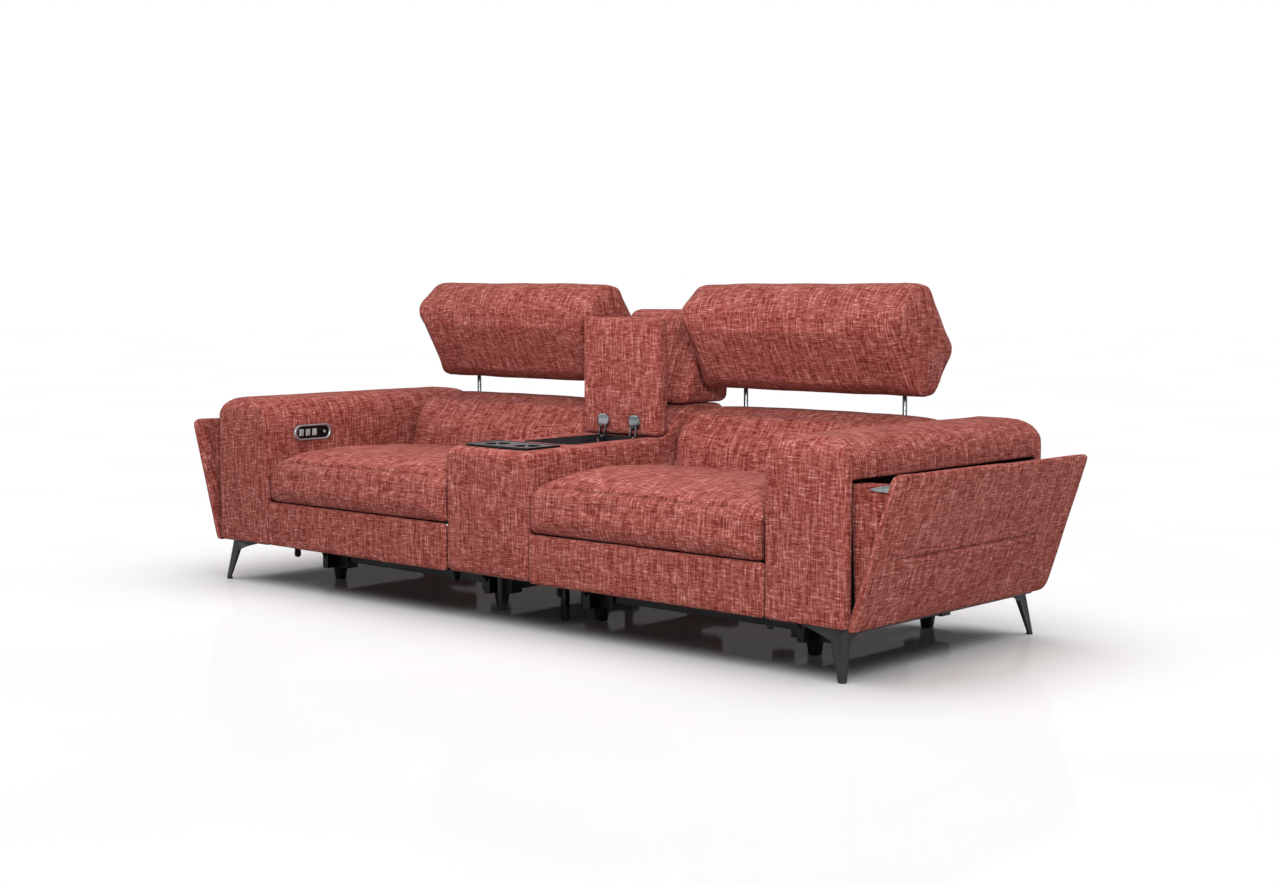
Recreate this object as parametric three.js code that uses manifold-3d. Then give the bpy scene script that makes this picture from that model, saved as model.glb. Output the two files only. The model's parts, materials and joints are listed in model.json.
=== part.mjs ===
// Two-seat reclining sofa with a centre console and a drop down lid.
// Lengths are millimetres, angles are degrees. x = 0 is the middle of the console and +x its right
// seen from the front, y grows from the front faces of the arms to the back, z = 0 is the floor.

import * as THREE from 'three';
import { mergeVertices } from 'three/addons/utils/BufferGeometryUtils.js';
import Module from 'manifold-3d';

const wasm = await Module();
wasm.setup();

// Main sizes of the sofa
const armWidth = 259;
const armDepth = 950;
const armHeight = 620;
const armGround = 134.7;
const seatWidth = 866;
const consoleWidth = 350;
const seatProud = 9;
const seatSeam = 284;
const rearSetback = 45;
const seatRearAhead = 309;

// Clearances
const fit = 0.3;
const softGap = 2;
const pinGap = 0.4;
const plateGap = 0.6;
const overrun = 4;

// Numbers of flat steps on round forms
const cornerSteps = 4;
const steelSteps = 2;
const pinSides = 10;
const tubeSides = 10;
const cupSides = 20;

const consoleSide = consoleWidth / 2;
const armInner = consoleSide + seatWidth;
const armOuter = armInner + armWidth;
const seatMiddle = consoleSide + seatWidth / 2;

// The rear line of the backrests and the console; a name that ends in Ahead is a length in front of it
const rearLine = armDepth - rearSetback;
const seatRear = rearLine - seatRearAhead;

const arm = {
  topRadius: 78,
  innerTopRadius: 84,
  bottomRadius: 12,
  edgeRadius: 7,
  frontTopRadius: 54,
  rearTopRadius: 58,
  recessDepth: 140,
  recessWall: 30,
  recessFloor: 146,
  recessDrop: 109,
};

// The storage pocket in the hollow outer side of an arm, leaning out on a long hinge
const pocket = {
  lean: 18.3,
  panelOverhang: 3,
  knuckleRadius: 4,
  panelThickness: 16,
  panelInset: 2.3,
  panelFrontDrop: 60,
  panelRearDrop: 71,
  panelFrontCorner: 24,
  panelCorner: 14,
  panelRearCorner: 34,
  panelBevel: 4,
  cheekThickness: 6,
  cheekGap: 4,
  cheekLow: 30,
  cheekDrop: 3,
  cheekSweep: 20.3,
  hingeDrop: 5.7,
  leafThickness: 2,
  leafWidth: 28,
  hingeInset: 60,
};
const hingeX = armOuter + pocket.knuckleRadius;
const hingeZ = armGround - pocket.hingeDrop;
const recessTop = armHeight - arm.recessDrop;
const panelFrontLength = armHeight - hingeZ - pocket.panelFrontDrop;
const panelRearLength = armHeight - hingeZ - pocket.panelRearDrop;
const cheekHigh = recessTop - hingeZ - pocket.cheekDrop;

// A lens cut off at its widest: its tip points into the pocket and the cut end is at the panel
const pullPlate = {
  width: 66,
  height: 17,
  thickness: 1.6,
  panelGap: 14,
  endDrop: 11,
  turn: 22.8,
};

const cornerLeg = {
  inset: 32,
  splay: 19,
  bladeThickness: 4,
  bracketLength: 125,
  bracketEdge: 6,
  kneeDrop: 34,
  kneeWidth: 36,
  footWidth: 16,
  padRadius: 9,
  padHeight: 6,
  padInset: 5,
};

const control = {
  middleY: 195,
  middleDrop: 118,
  length: 160,
  height: 53,
  rim: 7,
  lip: 5,
  skirt: 2,
  skirtDepth: 10,
  recessDepth: 16,
  insertThickness: 3,
  insertSunk: 1,
  rockerWidth: 18,
  rockerHeight: 23,
  rockerProud: 3,
  rockerDepth: 9,
  rockerGap: 0.6,
  rockerCrown: 1.6,
  firstRocker: -48,
  rockerStep: 27.5,
  rockerCount: 3,
  portPlace: 30,
  portWidth: 10,
  portHeight: 6,
  buttonPlace: 49,
  buttonRadius: 5.5,
  buttonProud: 2.5,
  buttonDepth: 9,
};
const controlZ = armHeight - control.middleDrop;

const consoleBody = {
  front: 1,
  ground: 136.5,
  frontTop: 516,
  deck: 523.5,
  deckStartAhead: 418,
  sweepStartAhead: 305,
  sweepEndAhead: 170,
  rearTop: 621,
  frontRadius: 28,
  bottomRadius: 22,
  deckRadius: 300,
  sweepLowRadius: 90,
  sweepHighRadius: 70,
  rearRadius: 30,
  sideRadius: 16,
};
const deckStart = rearLine - consoleBody.deckStartAhead;

const storage = {
  halfWidth: 105,
  front: 262,
  rearAhead: 305,
  floor: 330,
  wall: 3,
  rimDrop: 3,
  cornerRadius: 12,
};
const storageRear = rearLine - storage.rearAhead;

const tray = {
  halfWidth: 132,
  front: 42,
  depth: 150,
  thickness: 4,
  cornerRadius: 12,
  wellRadius: 40,
  wellWall: 3,
  wellDepth: 60,
  wellPlace: 62,
  wellSides: 24,
  rimWidth: 5,
  rimHeight: 1.6,
};

const lid = {
  halfWidth: 162,
  frontAhead: 320,
  thickness: 56,
  height: 371,
  cornerRadius: 17,
  endRadius: 16,
  crown: 4,
};
const lidFront = rearLine - lid.frontAhead;
const lidBottom = consoleBody.deck + fit;

const lidHinge = {
  place: 66,
  cupRadius: 17,
  cupDepth: 11,
  cupHeight: 43,
  plateWidth: 48,
  plateHeight: 46,
  plateThickness: 2.6,
  plateRadius: 19,
  axisForward: 6,
  axisDrop: 5.8,
  knuckleRadius: 5.4,
  pinRadius: 2.6,
  lugThickness: 4,
  lugWidth: 9,
  armHalf: 7.6,
  armThickness: 7,
  footHeight: 44,
  footTop: 16,
  footThickness: 3,
};
const lidAxisY = lidFront - lidHinge.axisForward;
const lidAxisZ = lidBottom - lidHinge.axisDrop;

const headBlock = {
  halfWidth: 173,
  frontLowAhead: 207,
  frontHighAhead: 79,
  rearOverhang: 21,
  top: 917,
  frontLowRadius: 18,
  frontHighRadius: 44,
  rearHighRadius: 28,
  rearLowRadius: 24,
  endRadius: 20,
};

const consoleStand = {
  legWidth: 20,
  legPlace: 135,
  frontLeg: 200,
  rearLegAhead: 125,
  railHeight: 18,
};

// The shares are those of the height between the seat seam and the top of the arms
const seat = {
  frontRadius: 58,
  noseRadius: 13,
  noseShare: 0.4524,
  crownShare: 0.506,
  crownPlace: 230,
  crownRadius: 420,
  rearShare: 0.4762,
  rearRadius: 22,
  underside: 290,
  noseDepth: 50,
  noseSlope: 20,
  undersideRadius: 8,
  endRadius: 14,
  sideDrop: 42,
  sideReach: 130,
};
const seatRise = armHeight - seatSeam;

const back = {
  lowFrontAhead: 303,
  lowHeight: 336,
  seatFrontAhead: 307,
  seatHeight: 440,
  bulgeFrontAhead: 271,
  bulgeHeight: 542,
  topFrontAhead: 221,
  top: 619,
  skirtBottom: 185,
  skirtThickness: 36,
  underside: 310,
  skirtTopAhead: 59,
  lowRadius: 18,
  bulgeRadius: 130,
  seatRadius: 90,
  topRadius: 30,
  rearRadius: 34,
  skirtRadius: 14,
  endRadius: 15,
};

const headrest = {
  consoleGap: 13,
  armGap: 23,
  topFrontAhead: 171,
  topFrontZ: 1001,
  noseAhead: 277,
  noseZ: 914,
  lowFrontAhead: 143,
  lowFrontZ: 676,
  lowRearAhead: 71,
  lowRearZ: 678,
  tailOverhang: 39,
  tailZ: 806,
  topRearAhead: 99,
  topRearZ: 998,
  topRadius: 46,
  noseRadius: 52,
  lowRadius: 34,
  tailRadius: 44,
  endRadius: 20,
  taperShare: 0.02,
  taperReach: 170,
  tilt: 25,
};

// The two posts of a headrest and the bar that joins them inside it
const yoke = {
  postInset: 134.5,
  ahead: 67,
  postRadius: 7,
  barRadius: 6,
  barHeight: 730,
  postBottom: 490,
  lift: 30,
  boreGap: 0.6,
  slotSide: 1,
  slotDepth: 95,
};
const innerPost = consoleSide + yoke.postInset;
const outerPost = armInner - yoke.postInset;
const yokeY = rearLine - yoke.ahead;

// The steel frame under one seat: rails, side plates and cross tubes, on four glides
const recliner = {
  railInset: 38,
  railWidth: 25,
  railHeight: 45,
  railFront: 210,
  railRearAhead: 60,
  plateThickness: 5,
  tubeSize: 25,
  tubeHeight: 150,
  frontTube: 262,
  rearTubeAhead: 205,
  plateFront: 88,
  plateNose: 232,
  noseWidth: 26,
  windowInset: 22,
  windowRadius: 14,
  plateRadius: 10,
  pivotBoss: 18,
};
const railSpread = seatWidth / 2 - recliner.railInset;
const railRear = rearLine - recliner.railRearAhead;
const rearTube = rearLine - recliner.rearTubeAhead;

const glide = {
  height: 42,
  topRadius: 25,
  bottomRadius: 18,
  frontPlace: 276,
  rearPlaceAhead: 82,
  blockWidth: 130,
  blockDepth: 44,
  sides: 12,
};
const glideRear = rearLine - glide.rearPlaceAhead;

const backPivot = {
  y: rearTube,
  z: 285,
  pinRadius: 8,
  lugRadius: 16,
  lugThickness: 5,
  flangeThickness: 4,
  flangeFront: 55,
  flangeRear: 80,
};

// The footrest linkage: three link frames, each two flat bars and a tube, folded like an accordion
const linkage = {
  pivotY: 110,
  pivotZ: 252,
  lowerLength: 150,
  middleLength: 150,
  upperLength: 100,
  foldAngle: 8,
  barThickness: 4,
  barWidth: 22,
  pinRadius: 5,
  tubeRadius: 9,
  lowerTubeShare: 0.35,
  lowerTubeOffset: 30,
  middleTubeShare: 0.5,
  middleTubeOffset: 26,
  upperTubeShare: 0.5,
  upperTubeOffset: -20,
};

const footrest = {
  front: -2,
  thickness: 26,
  bottom: 137,
  top: 282,
  cornerRadius: 9,
  endRadius: 7,
  carrierThickness: 3,
  carrierBottom: 148,
  carrierTop: 268,
};

const actuator = {
  railWidth: 40,
  motorRadius: 34,
  motorPlaceAhead: 255,
  motorDrop: 55,
  motorSides: 16,
  blockWidth: 62,
  blockLength: 56,
  blockHeight: 44,
  blockFront: 322,
  blockOverhang: 8,
};

const materials = {
  fabric: new THREE.MeshStandardMaterial({ color: '#a4524a', roughness: 0.95, metalness: 0 }),
  legMetal: new THREE.MeshStandardMaterial({ color: '#3a3a3d', roughness: 0.45, metalness: 0.9 }),
  steel: new THREE.MeshStandardMaterial({ color: '#1d1e20', roughness: 0.55, metalness: 0.6 }),
  chrome: new THREE.MeshStandardMaterial({ color: '#d9dcde', roughness: 0.12, metalness: 1 }),
  satin: new THREE.MeshStandardMaterial({ color: '#b9bcbf', roughness: 0.35, metalness: 1 }),
  plastic: new THREE.MeshStandardMaterial({ color: '#141416', roughness: 0.4, metalness: 0 }),
};

const sides = [
  { name: 'left', sign: -1 },
  { name: 'right', sign: 1 },
];

const sofa = new THREE.Group();
sofa.position.y = -(armDepth + pocket.panelOverhang - seatProud) / 2;

// An outline with round corners: each corner is its two places and a radius
function rounded(corners, steps = cornerSteps) {
  const middle = new THREE.Vector2();
  const points = [];
  corners.forEach(([a, b, radius = 0], index) => {
    const here = new THREE.Vector2(a, b);
    if (radius === 0) {
      points.push(here);
      return;
    }
    const before = corners[(index + corners.length - 1) % corners.length];
    const after = corners[(index + 1) % corners.length];
    const toBefore = new THREE.Vector2(before[0], before[1]).sub(here).normalize();
    const toAfter = new THREE.Vector2(after[0], after[1]).sub(here).normalize();
    const half = Math.acos(toBefore.dot(toAfter)) / 2;
    const reach = radius / Math.tan(half);
    const toCentre = toBefore.clone().add(toAfter).normalize();
    const centre = toCentre.multiplyScalar(radius / Math.sin(half)).add(here);
    const first = toBefore.multiplyScalar(reach).add(here).sub(centre);
    const last = toAfter.multiplyScalar(reach).add(here).sub(centre);
    const turn = Math.atan2(first.cross(last), first.dot(last));
    for (let step = 0; step <= steps; step += 1) {
      points.push(first.clone().rotateAround(middle, (turn * step) / steps).add(centre));
    }
  });
  return points;
}

function rectangle(a0, b0, a1, b1, radius = 0, steps = cornerSteps) {
  return rounded([[a0, b0, radius], [a1, b0, radius], [a1, b1, radius], [a0, b1, radius]], steps);
}

// A round hole's outline, with its flats no nearer to the middle than the radius
function roundHole(a, b, radius) {
  const reach = radius / Math.cos(Math.PI / pinSides);
  const points = [];
  for (let index = 0; index < pinSides; index += 1) {
    const turn = (2 * Math.PI * index) / pinSides;
    points.push(new THREE.Vector2(a + reach * Math.cos(turn), b + reach * Math.sin(turn)));
  }
  return points;
}

// A long hole's outline: a rectangle with round ends
function stadium(a, b, length, height) {
  const steps = cornerSteps + steelSteps;
  const radius = height / 2;
  const points = [];
  for (const end of [1, -1]) {
    for (let step = 0; step <= steps; step += 1) {
      const turn = end * Math.PI * (step / steps - 1 / 2);
      const start = end > 0 ? 0 : Math.PI;
      const angle = start + end * turn;
      const centre = a + end * (length / 2 - radius);
      points.push(new THREE.Vector2(centre + radius * Math.cos(angle), b + radius * Math.sin(angle)));
    }
  }
  return points;
}

// A closed geometry as a solid that can be joined and cut
function solid(geometry) {
  geometry.deleteAttribute('normal');
  geometry.deleteAttribute('uv');
  const merged = mergeVertices(geometry);
  return new wasm.Manifold(new wasm.Mesh({
    numProp: 3,
    vertProperties: new Float32Array(merged.attributes.position.array),
    triVerts: new Uint32Array(merged.index.array),
  }));
}

function surface(body) {
  const { vertProperties, triVerts } = body.getMesh();
  const geometry = new THREE.BufferGeometry();
  geometry.setAttribute('position', new THREE.BufferAttribute(vertProperties, 3));
  geometry.setIndex(new THREE.BufferAttribute(triVerts, 1));
  geometry.computeVertexNormals();
  return geometry;
}

function extrusion(points, length) {
  return new THREE.ExtrudeGeometry(new THREE.Shape(points), { depth: length, bevelEnabled: false });
}

// The outline is in (y, z) and runs from one x to another, with holes cut through it
function alongX(points, from, to, holes = []) {
  const toX = new THREE.Matrix4().makeBasis(
    new THREE.Vector3(0, 1, 0),
    new THREE.Vector3(0, 0, 1),
    new THREE.Vector3(1, 0, 0),
  );
  const body = solid(extrusion(points, to - from).applyMatrix4(toX).translate(from, 0, 0));
  return holes.reduce((left, hole) => left.subtract(alongX(hole, from - overrun, to + overrun)), body);
}

// The outline is in (x, z) and runs from one y to another
function alongY(points, from, to) {
  const toY = new THREE.Matrix4().makeBasis(
    new THREE.Vector3(1, 0, 0),
    new THREE.Vector3(0, 0, 1),
    new THREE.Vector3(0, -1, 0),
  );
  return solid(extrusion(points, to - from).applyMatrix4(toY).translate(0, to, 0));
}

// The outline is in (x, y) and runs from one z to another
function alongZ(points, from, to) {
  return solid(extrusion(points, to - from).translate(0, 0, from));
}

function rodAlongX(radius, from, to, y, z, steps = pinSides) {
  const geometry = new THREE.CylinderGeometry(radius, radius, to - from, steps);
  return solid(geometry.rotateZ(Math.PI / 2).translate((from + to) / 2, y, z));
}

function rodAlongY(radius, from, to, x, z, steps = pinSides) {
  const geometry = new THREE.CylinderGeometry(radius, radius, to - from, steps);
  return solid(geometry.translate(x, (from + to) / 2, z));
}

function rodAlongZ(radius, from, to, x, y, steps = pinSides) {
  const geometry = new THREE.CylinderGeometry(radius, radius, to - from, steps);
  return solid(geometry.rotateX(Math.PI / 2).translate(x, y, (from + to) / 2));
}

function block(low, high) {
  const size = high.map((value, index) => value - low[index]);
  const middle = high.map((value, index) => (value + low[index]) / 2);
  return solid(new THREE.BoxGeometry(...size).translate(...middle));
}

// The outline moved inwards by a distance, along the normals of its corners
function inset(points, distance) {
  return points.map((point, index) => {
    const before = points[(index + points.length - 1) % points.length];
    const after = points[(index + 1) % points.length];
    const into = point.clone().sub(before).normalize();
    const outOf = after.clone().sub(point).normalize();
    const normal = new THREE.Vector2(into.y + outOf.y, -into.x - outOf.x).normalize();
    const lean = Math.max(normal.x * into.y - normal.y * into.x, 1 / 2);
    return point.clone().addScaledVector(normal, -distance / lean);
  });
}

// A padded form: an outline in (y, z) carried from one x to another, with round ends.
// Near its ends the top can drop and the whole can taper, as a stuffed cushion does.
function pad(points, from, to, shape) {
  const { endRadius, drop = 0, dropFrom = 0, taperShare = 0, reach = 0 } = shape;
  const outline = THREE.ShapeUtils.area(points) > 0 ? points : points.slice().reverse();
  const middle = outline.reduce((sum, point) => sum.add(point), new THREE.Vector2());
  middle.divideScalar(outline.length);
  const top = Math.max(...outline.map((point) => point.y));
  const endShares = [0, 0.3, 1];
  const reachShares = reach > 0 ? [0.3, 0.6, 1] : [];
  const distances = endShares.map((share) => share * endRadius);
  distances.push(...reachShares.map((share) => share * reach).filter((far) => far > endRadius));
  const half = (to - from) / 2;
  const places = distances.map((distance) => ({ x: from + distance, distance }));
  places.push({ x: from + half, distance: half });
  places.push(...distances.slice().reverse().map((distance) => ({ x: to - distance, distance })));

  const corners = [];
  for (const { x, distance } of places) {
    const roundShare = 1 - Math.min(distance / endRadius, 1);
    const inwards = endRadius * (1 - Math.sqrt(1 - roundShare ** 2));
    const fallShare = reach > 0 ? 1 - Math.min(distance / reach, 1) : 0;
    const fall = 1 - Math.sqrt(1 - fallShare ** 2);
    for (const point of inset(outline, inwards)) {
      point.sub(middle).multiplyScalar(1 - taperShare * fall).add(middle);
      const heightShare = Math.min(Math.max((point.y - dropFrom) / (top - dropFrom), 0), 1);
      corners.push(x, point.x, point.y - drop * fall * heightShare);
    }
  }

  const count = outline.length;
  const triangles = [];
  for (let ring = 0; ring < places.length - 1; ring += 1) {
    for (let index = 0; index < count; index += 1) {
      const next = (index + 1) % count;
      const [a, b] = [ring * count + index, ring * count + next];
      triangles.push(a, b, a + count, b, b + count, a + count);
    }
  }
  const last = (places.length - 1) * count;
  for (const [a, b, c] of THREE.ShapeUtils.triangulateShape(outline, [])) {
    triangles.push(c, b, a, last + a, last + b, last + c);
  }
  const geometry = new THREE.BufferGeometry();
  geometry.setAttribute('position', new THREE.Float32BufferAttribute(corners, 3));
  geometry.setIndex(triangles);
  return solid(geometry);
}

// A copy mirrored across x, y or both; one mirroring turns the triangles over, so they are turned back
function mirrored(geometry, xSign, ySign) {
  const copy = geometry.clone().scale(xSign, ySign, 1);
  if (xSign * ySign < 0) {
    const index = copy.index.array;
    for (let start = 0; start < index.length; start += 3) {
      [index[start], index[start + 1]] = [index[start + 1], index[start]];
    }
  }
  copy.computeVertexNormals();
  return copy;
}

function add(parent, name, body, material, side) {
  const geometry = surface(body);
  const mesh = new THREE.Mesh(side ? mirrored(geometry, side.sign, 1) : geometry, material);
  mesh.name = side ? `${name}_${side.name}` : name;
  parent.add(mesh);
  return mesh;
}

// A group that turns about the x axis at one place
function pivot(parent, y, z, turn) {
  const group = new THREE.Group();
  group.position.set(0, y, z);
  group.rotation.x = THREE.MathUtils.degToRad(turn);
  parent.add(group);
  return group;
}

function makeArm(side) {
  const front = rounded([
    [armInner, armGround, arm.bottomRadius],
    [armOuter, armGround, arm.bottomRadius],
    [armOuter, armHeight, arm.topRadius],
    [armInner, armHeight, arm.innerTopRadius],
  ]);
  const profile = rounded([
    [0, armGround, arm.bottomRadius],
    [armDepth, armGround, arm.bottomRadius],
    [armDepth, armHeight, arm.rearTopRadius],
    [0, armHeight, arm.frontTopRadius],
  ]);
  const plan = rectangle(armInner, 0, armOuter, armDepth, arm.edgeRadius);
  const recess = block(
    [armOuter - arm.recessDepth, arm.recessWall, arm.recessFloor],
    [armOuter + overrun, armDepth - arm.recessWall, recessTop],
  );
  const panelHole = stadium(
    control.middleY,
    controlZ,
    control.length - 2 * control.rim + 2 * control.skirt + 2 * fit,
    control.height - 2 * control.rim + 2 * control.skirt + 2 * fit,
  );
  const body = alongY(front, 0, armDepth)
    .intersect(alongX(profile, armInner, armOuter))
    .intersect(alongZ(plan, armGround, armHeight))
    .subtract(recess)
    .subtract(alongX(panelHole, armInner - overrun, armInner + control.recessDepth));
  add(sofa, 'arm', body, materials.fabric, side);
}

function makeHingeRail(side) {
  const leafTop = armGround - fit;
  const leaf = block(
    [armOuter - pocket.leafWidth, pocket.hingeInset, leafTop - pocket.leafThickness],
    [hingeX, armDepth - pocket.hingeInset, leafTop],
  );
  const rear = armDepth - pocket.hingeInset;
  const knuckle = rodAlongY(pocket.knuckleRadius, pocket.hingeInset, rear, hingeX, hingeZ);
  add(sofa, 'pocket_hinge', leaf.add(knuckle), materials.steel, side);
}

// The pocket's front panel and its two cheeks, upright about the hinge axis before it leans out
function pocketBody() {
  const front = -pocket.panelOverhang;
  const rear = armDepth + pocket.panelOverhang;
  const foot = pocket.knuckleRadius + plateGap;
  const panelOutline = rounded([
    [front, foot, pocket.panelCorner],
    [rear, foot, pocket.panelRearCorner],
    [rear, panelRearLength, pocket.panelCorner],
    [front, panelFrontLength, pocket.panelFrontCorner],
  ]);
  const bevel = pocket.panelBevel;
  const flat = pocket.panelThickness - 2 * bevel;
  const inner = -pocket.panelInset;
  const panel = [
    alongX(panelOutline, inner + bevel, inner + bevel + flat),
    alongX(inset(panelOutline, bevel / 2), inner + bevel / 2, inner + 3 * bevel / 2 + flat),
    alongX(inset(panelOutline, bevel), inner, inner + pocket.panelThickness),
  ];
  const cheekOutline = [new THREE.Vector2(inner + bevel, pocket.cheekLow)];
  cheekOutline.push(new THREE.Vector2(inner + bevel, cheekHigh));
  const arcSteps = 2 * cornerSteps;
  for (const [radius, from, to] of [[cheekHigh, 1, arcSteps], [pocket.cheekLow, arcSteps, 1]]) {
    for (let step = from; from < to ? step <= to : step >= to; step += Math.sign(to - from)) {
      const turn = THREE.MathUtils.degToRad((pocket.cheekSweep * step) / arcSteps);
      cheekOutline.push(new THREE.Vector2(-radius * Math.sin(turn), radius * Math.cos(turn)));
    }
  }
  const cheekFront = arm.recessWall + pocket.cheekGap;
  const cheekRear = armDepth - cheekFront;
  return panel[0]
    .add(panel[1])
    .add(panel[2])
    .add(alongY(cheekOutline, cheekFront, cheekFront + pocket.cheekThickness))
    .add(alongY(cheekOutline, cheekRear - pocket.cheekThickness, cheekRear));
}

// Half a lens: two arcs that meet in a tip, cut off straight where they are furthest apart
function halfLens(width, height) {
  const rise = height / 2;
  const radius = (width ** 2 + rise ** 2) / (2 * rise);
  const spread = Math.asin(width / radius);
  const steps = 2 * cornerSteps;
  const points = [];
  for (const end of [1, -1]) {
    for (let step = 0; step < steps; step += 1) {
      const share = end > 0 ? step / steps : 1 - (step + 1) / steps;
      const turn = spread * share;
      const up = end * (radius * Math.cos(turn) - radius + rise);
      points.push(new THREE.Vector2(-radius * Math.sin(turn), up));
    }
    if (end > 0) points.push(new THREE.Vector2(-width, 0));
  }
  return points;
}

function makePocket(side) {
  const leaning = new THREE.Group();
  leaning.position.set(side.sign * hingeX, 0, hingeZ);
  leaning.rotation.y = side.sign * THREE.MathUtils.degToRad(pocket.lean);
  sofa.add(leaning);
  add(leaning, 'pocket_bin', pocketBody(), materials.fabric, side);
  if (side.sign < 0) return;
  const turn = THREE.MathUtils.degToRad(pullPlate.turn);
  const plateRear = arm.recessWall + pocket.cheekGap - fit;
  const end = new THREE.Vector2(-pocket.panelInset - pullPlate.panelGap, cheekHigh - pullPlate.endDrop);
  const middle = new THREE.Vector2();
  const outline = halfLens(pullPlate.width, pullPlate.height);
  for (const point of outline) point.rotateAround(middle, turn).add(end);
  const plate = alongY(outline, plateRear - pullPlate.thickness, plateRear);
  add(leaning, 'pocket_pull_plate', plate, materials.chrome, side);
}

// One leg under a corner of an arm: two thin blades that meet in a ridge, splayed to the corner
function makeLeg(side, atFront) {
  const top = armGround - fit;
  const { bladeThickness, bracketLength, kneeWidth, footWidth } = cornerLeg;
  const knee = top - cornerLeg.kneeDrop;
  const edge = top - cornerLeg.bracketEdge;
  const curve = new THREE.QuadraticBezierCurve(
    new THREE.Vector2(bracketLength, edge),
    new THREE.Vector2((bracketLength + kneeWidth) / 2, (edge + knee) / 2 + cornerLeg.bracketEdge),
    new THREE.Vector2(kneeWidth, knee),
  );
  const outline = [new THREE.Vector2(0, 0), new THREE.Vector2(footWidth, 0)];
  outline.push(...curve.getPoints(cornerSteps).reverse());
  outline.push(new THREE.Vector2(bracketLength, top), new THREE.Vector2(0, top));
  const across = alongY(outline, 0, bladeThickness);
  const along = alongX(outline, 0, bladeThickness);
  const padPlace = cornerLeg.padInset + bladeThickness / 2;
  const foot = rodAlongZ(cornerLeg.padRadius, 0, cornerLeg.padHeight, padPlace, padPlace);
  const lean = cornerLeg.splay / top;
  const splayed = new THREE.Matrix4().set(
    1, 0, lean, -cornerLeg.splay,
    0, 1, lean, -cornerLeg.splay,
    0, 0, 1, 0,
    0, 0, 0, 1,
  );
  const geometry = surface(across.add(along).add(foot)).applyMatrix4(splayed);
  const mesh = new THREE.Mesh(mirrored(geometry, -side.sign, atFront ? 1 : -1), materials.legMetal);
  mesh.name = `leg_${atFront ? 'front' : 'rear'}_${side.name}`;
  mesh.position.x = side.sign * (armOuter - cornerLeg.inset);
  mesh.position.y = atFront ? cornerLeg.inset : armDepth - cornerLeg.inset;
  sofa.add(mesh);
}

function rocker(place) {
  const half = control.rockerWidth / 2;
  const tall = control.rockerHeight / 2;
  const proud = -control.rockerProud;
  const face = rounded([
    [proud, controlZ - tall, control.rockerCrown],
    [proud + control.rockerDepth, controlZ - tall],
    [proud + control.rockerDepth, controlZ + tall],
    [proud, controlZ + tall, control.rockerCrown],
    [proud + control.rockerCrown, controlZ],
  ]);
  for (const point of face) point.x += armInner;
  return alongY(face, place - half, place + half);
}

function makeControls(side) {
  const { middleY, length, height, rim } = control;
  const outer = stadium(middleY, controlZ, length, height);
  const opening = stadium(middleY, controlZ, length - 2 * rim, height - 2 * rim);
  const skirtWide = 2 * control.skirt - 2 * rim;
  const skirtOutline = stadium(middleY, controlZ, length + skirtWide, height + skirtWide);
  const rimPlate = alongX(outer, armInner - fit - control.lip, armInner - fit, [opening]);
  const skirtStart = armInner - fit - control.lip / 2;
  const skirt = alongX(skirtOutline, skirtStart, armInner + control.skirtDepth, [opening]);
  add(sofa, 'control_bezel', rimPlate.add(skirt), materials.satin, side);

  const gap = control.rockerGap;
  const insertOutline = stadium(middleY, controlZ, length - 2 * rim - 2 * fit, height - 2 * rim - 2 * fit);
  const holes = [];
  for (let index = 0; index < control.rockerCount; index += 1) {
    const place = middleY + control.firstRocker + index * control.rockerStep;
    const half = control.rockerWidth / 2 + gap;
    const tall = control.rockerHeight / 2 + gap;
    holes.push(rectangle(place - half, controlZ - tall, place + half, controlZ + tall));
    add(sofa, `rocker_${index + 1}`, rocker(place), materials.satin, side);
  }
  const port = middleY + control.portPlace;
  const [portHalf, portTall] = [control.portWidth / 2, control.portHeight / 2];
  holes.push(rectangle(port - portHalf, controlZ - portTall, port + portHalf, controlZ + portTall));
  const buttonY = middleY + control.buttonPlace;
  holes.push(roundHole(buttonY, controlZ, control.buttonRadius + gap));
  const insertFace = armInner - control.insertSunk;
  const insert = alongX(insertOutline, insertFace, insertFace + control.insertThickness, holes);
  add(sofa, 'control_insert', insert, materials.plastic, side);

  const buttonFace = armInner - control.buttonProud;
  const buttonRear = buttonFace + control.buttonDepth;
  const button = rodAlongX(control.buttonRadius, buttonFace, buttonRear, buttonY, controlZ);
  add(sofa, 'control_button', button, materials.satin, side);
}

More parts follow.
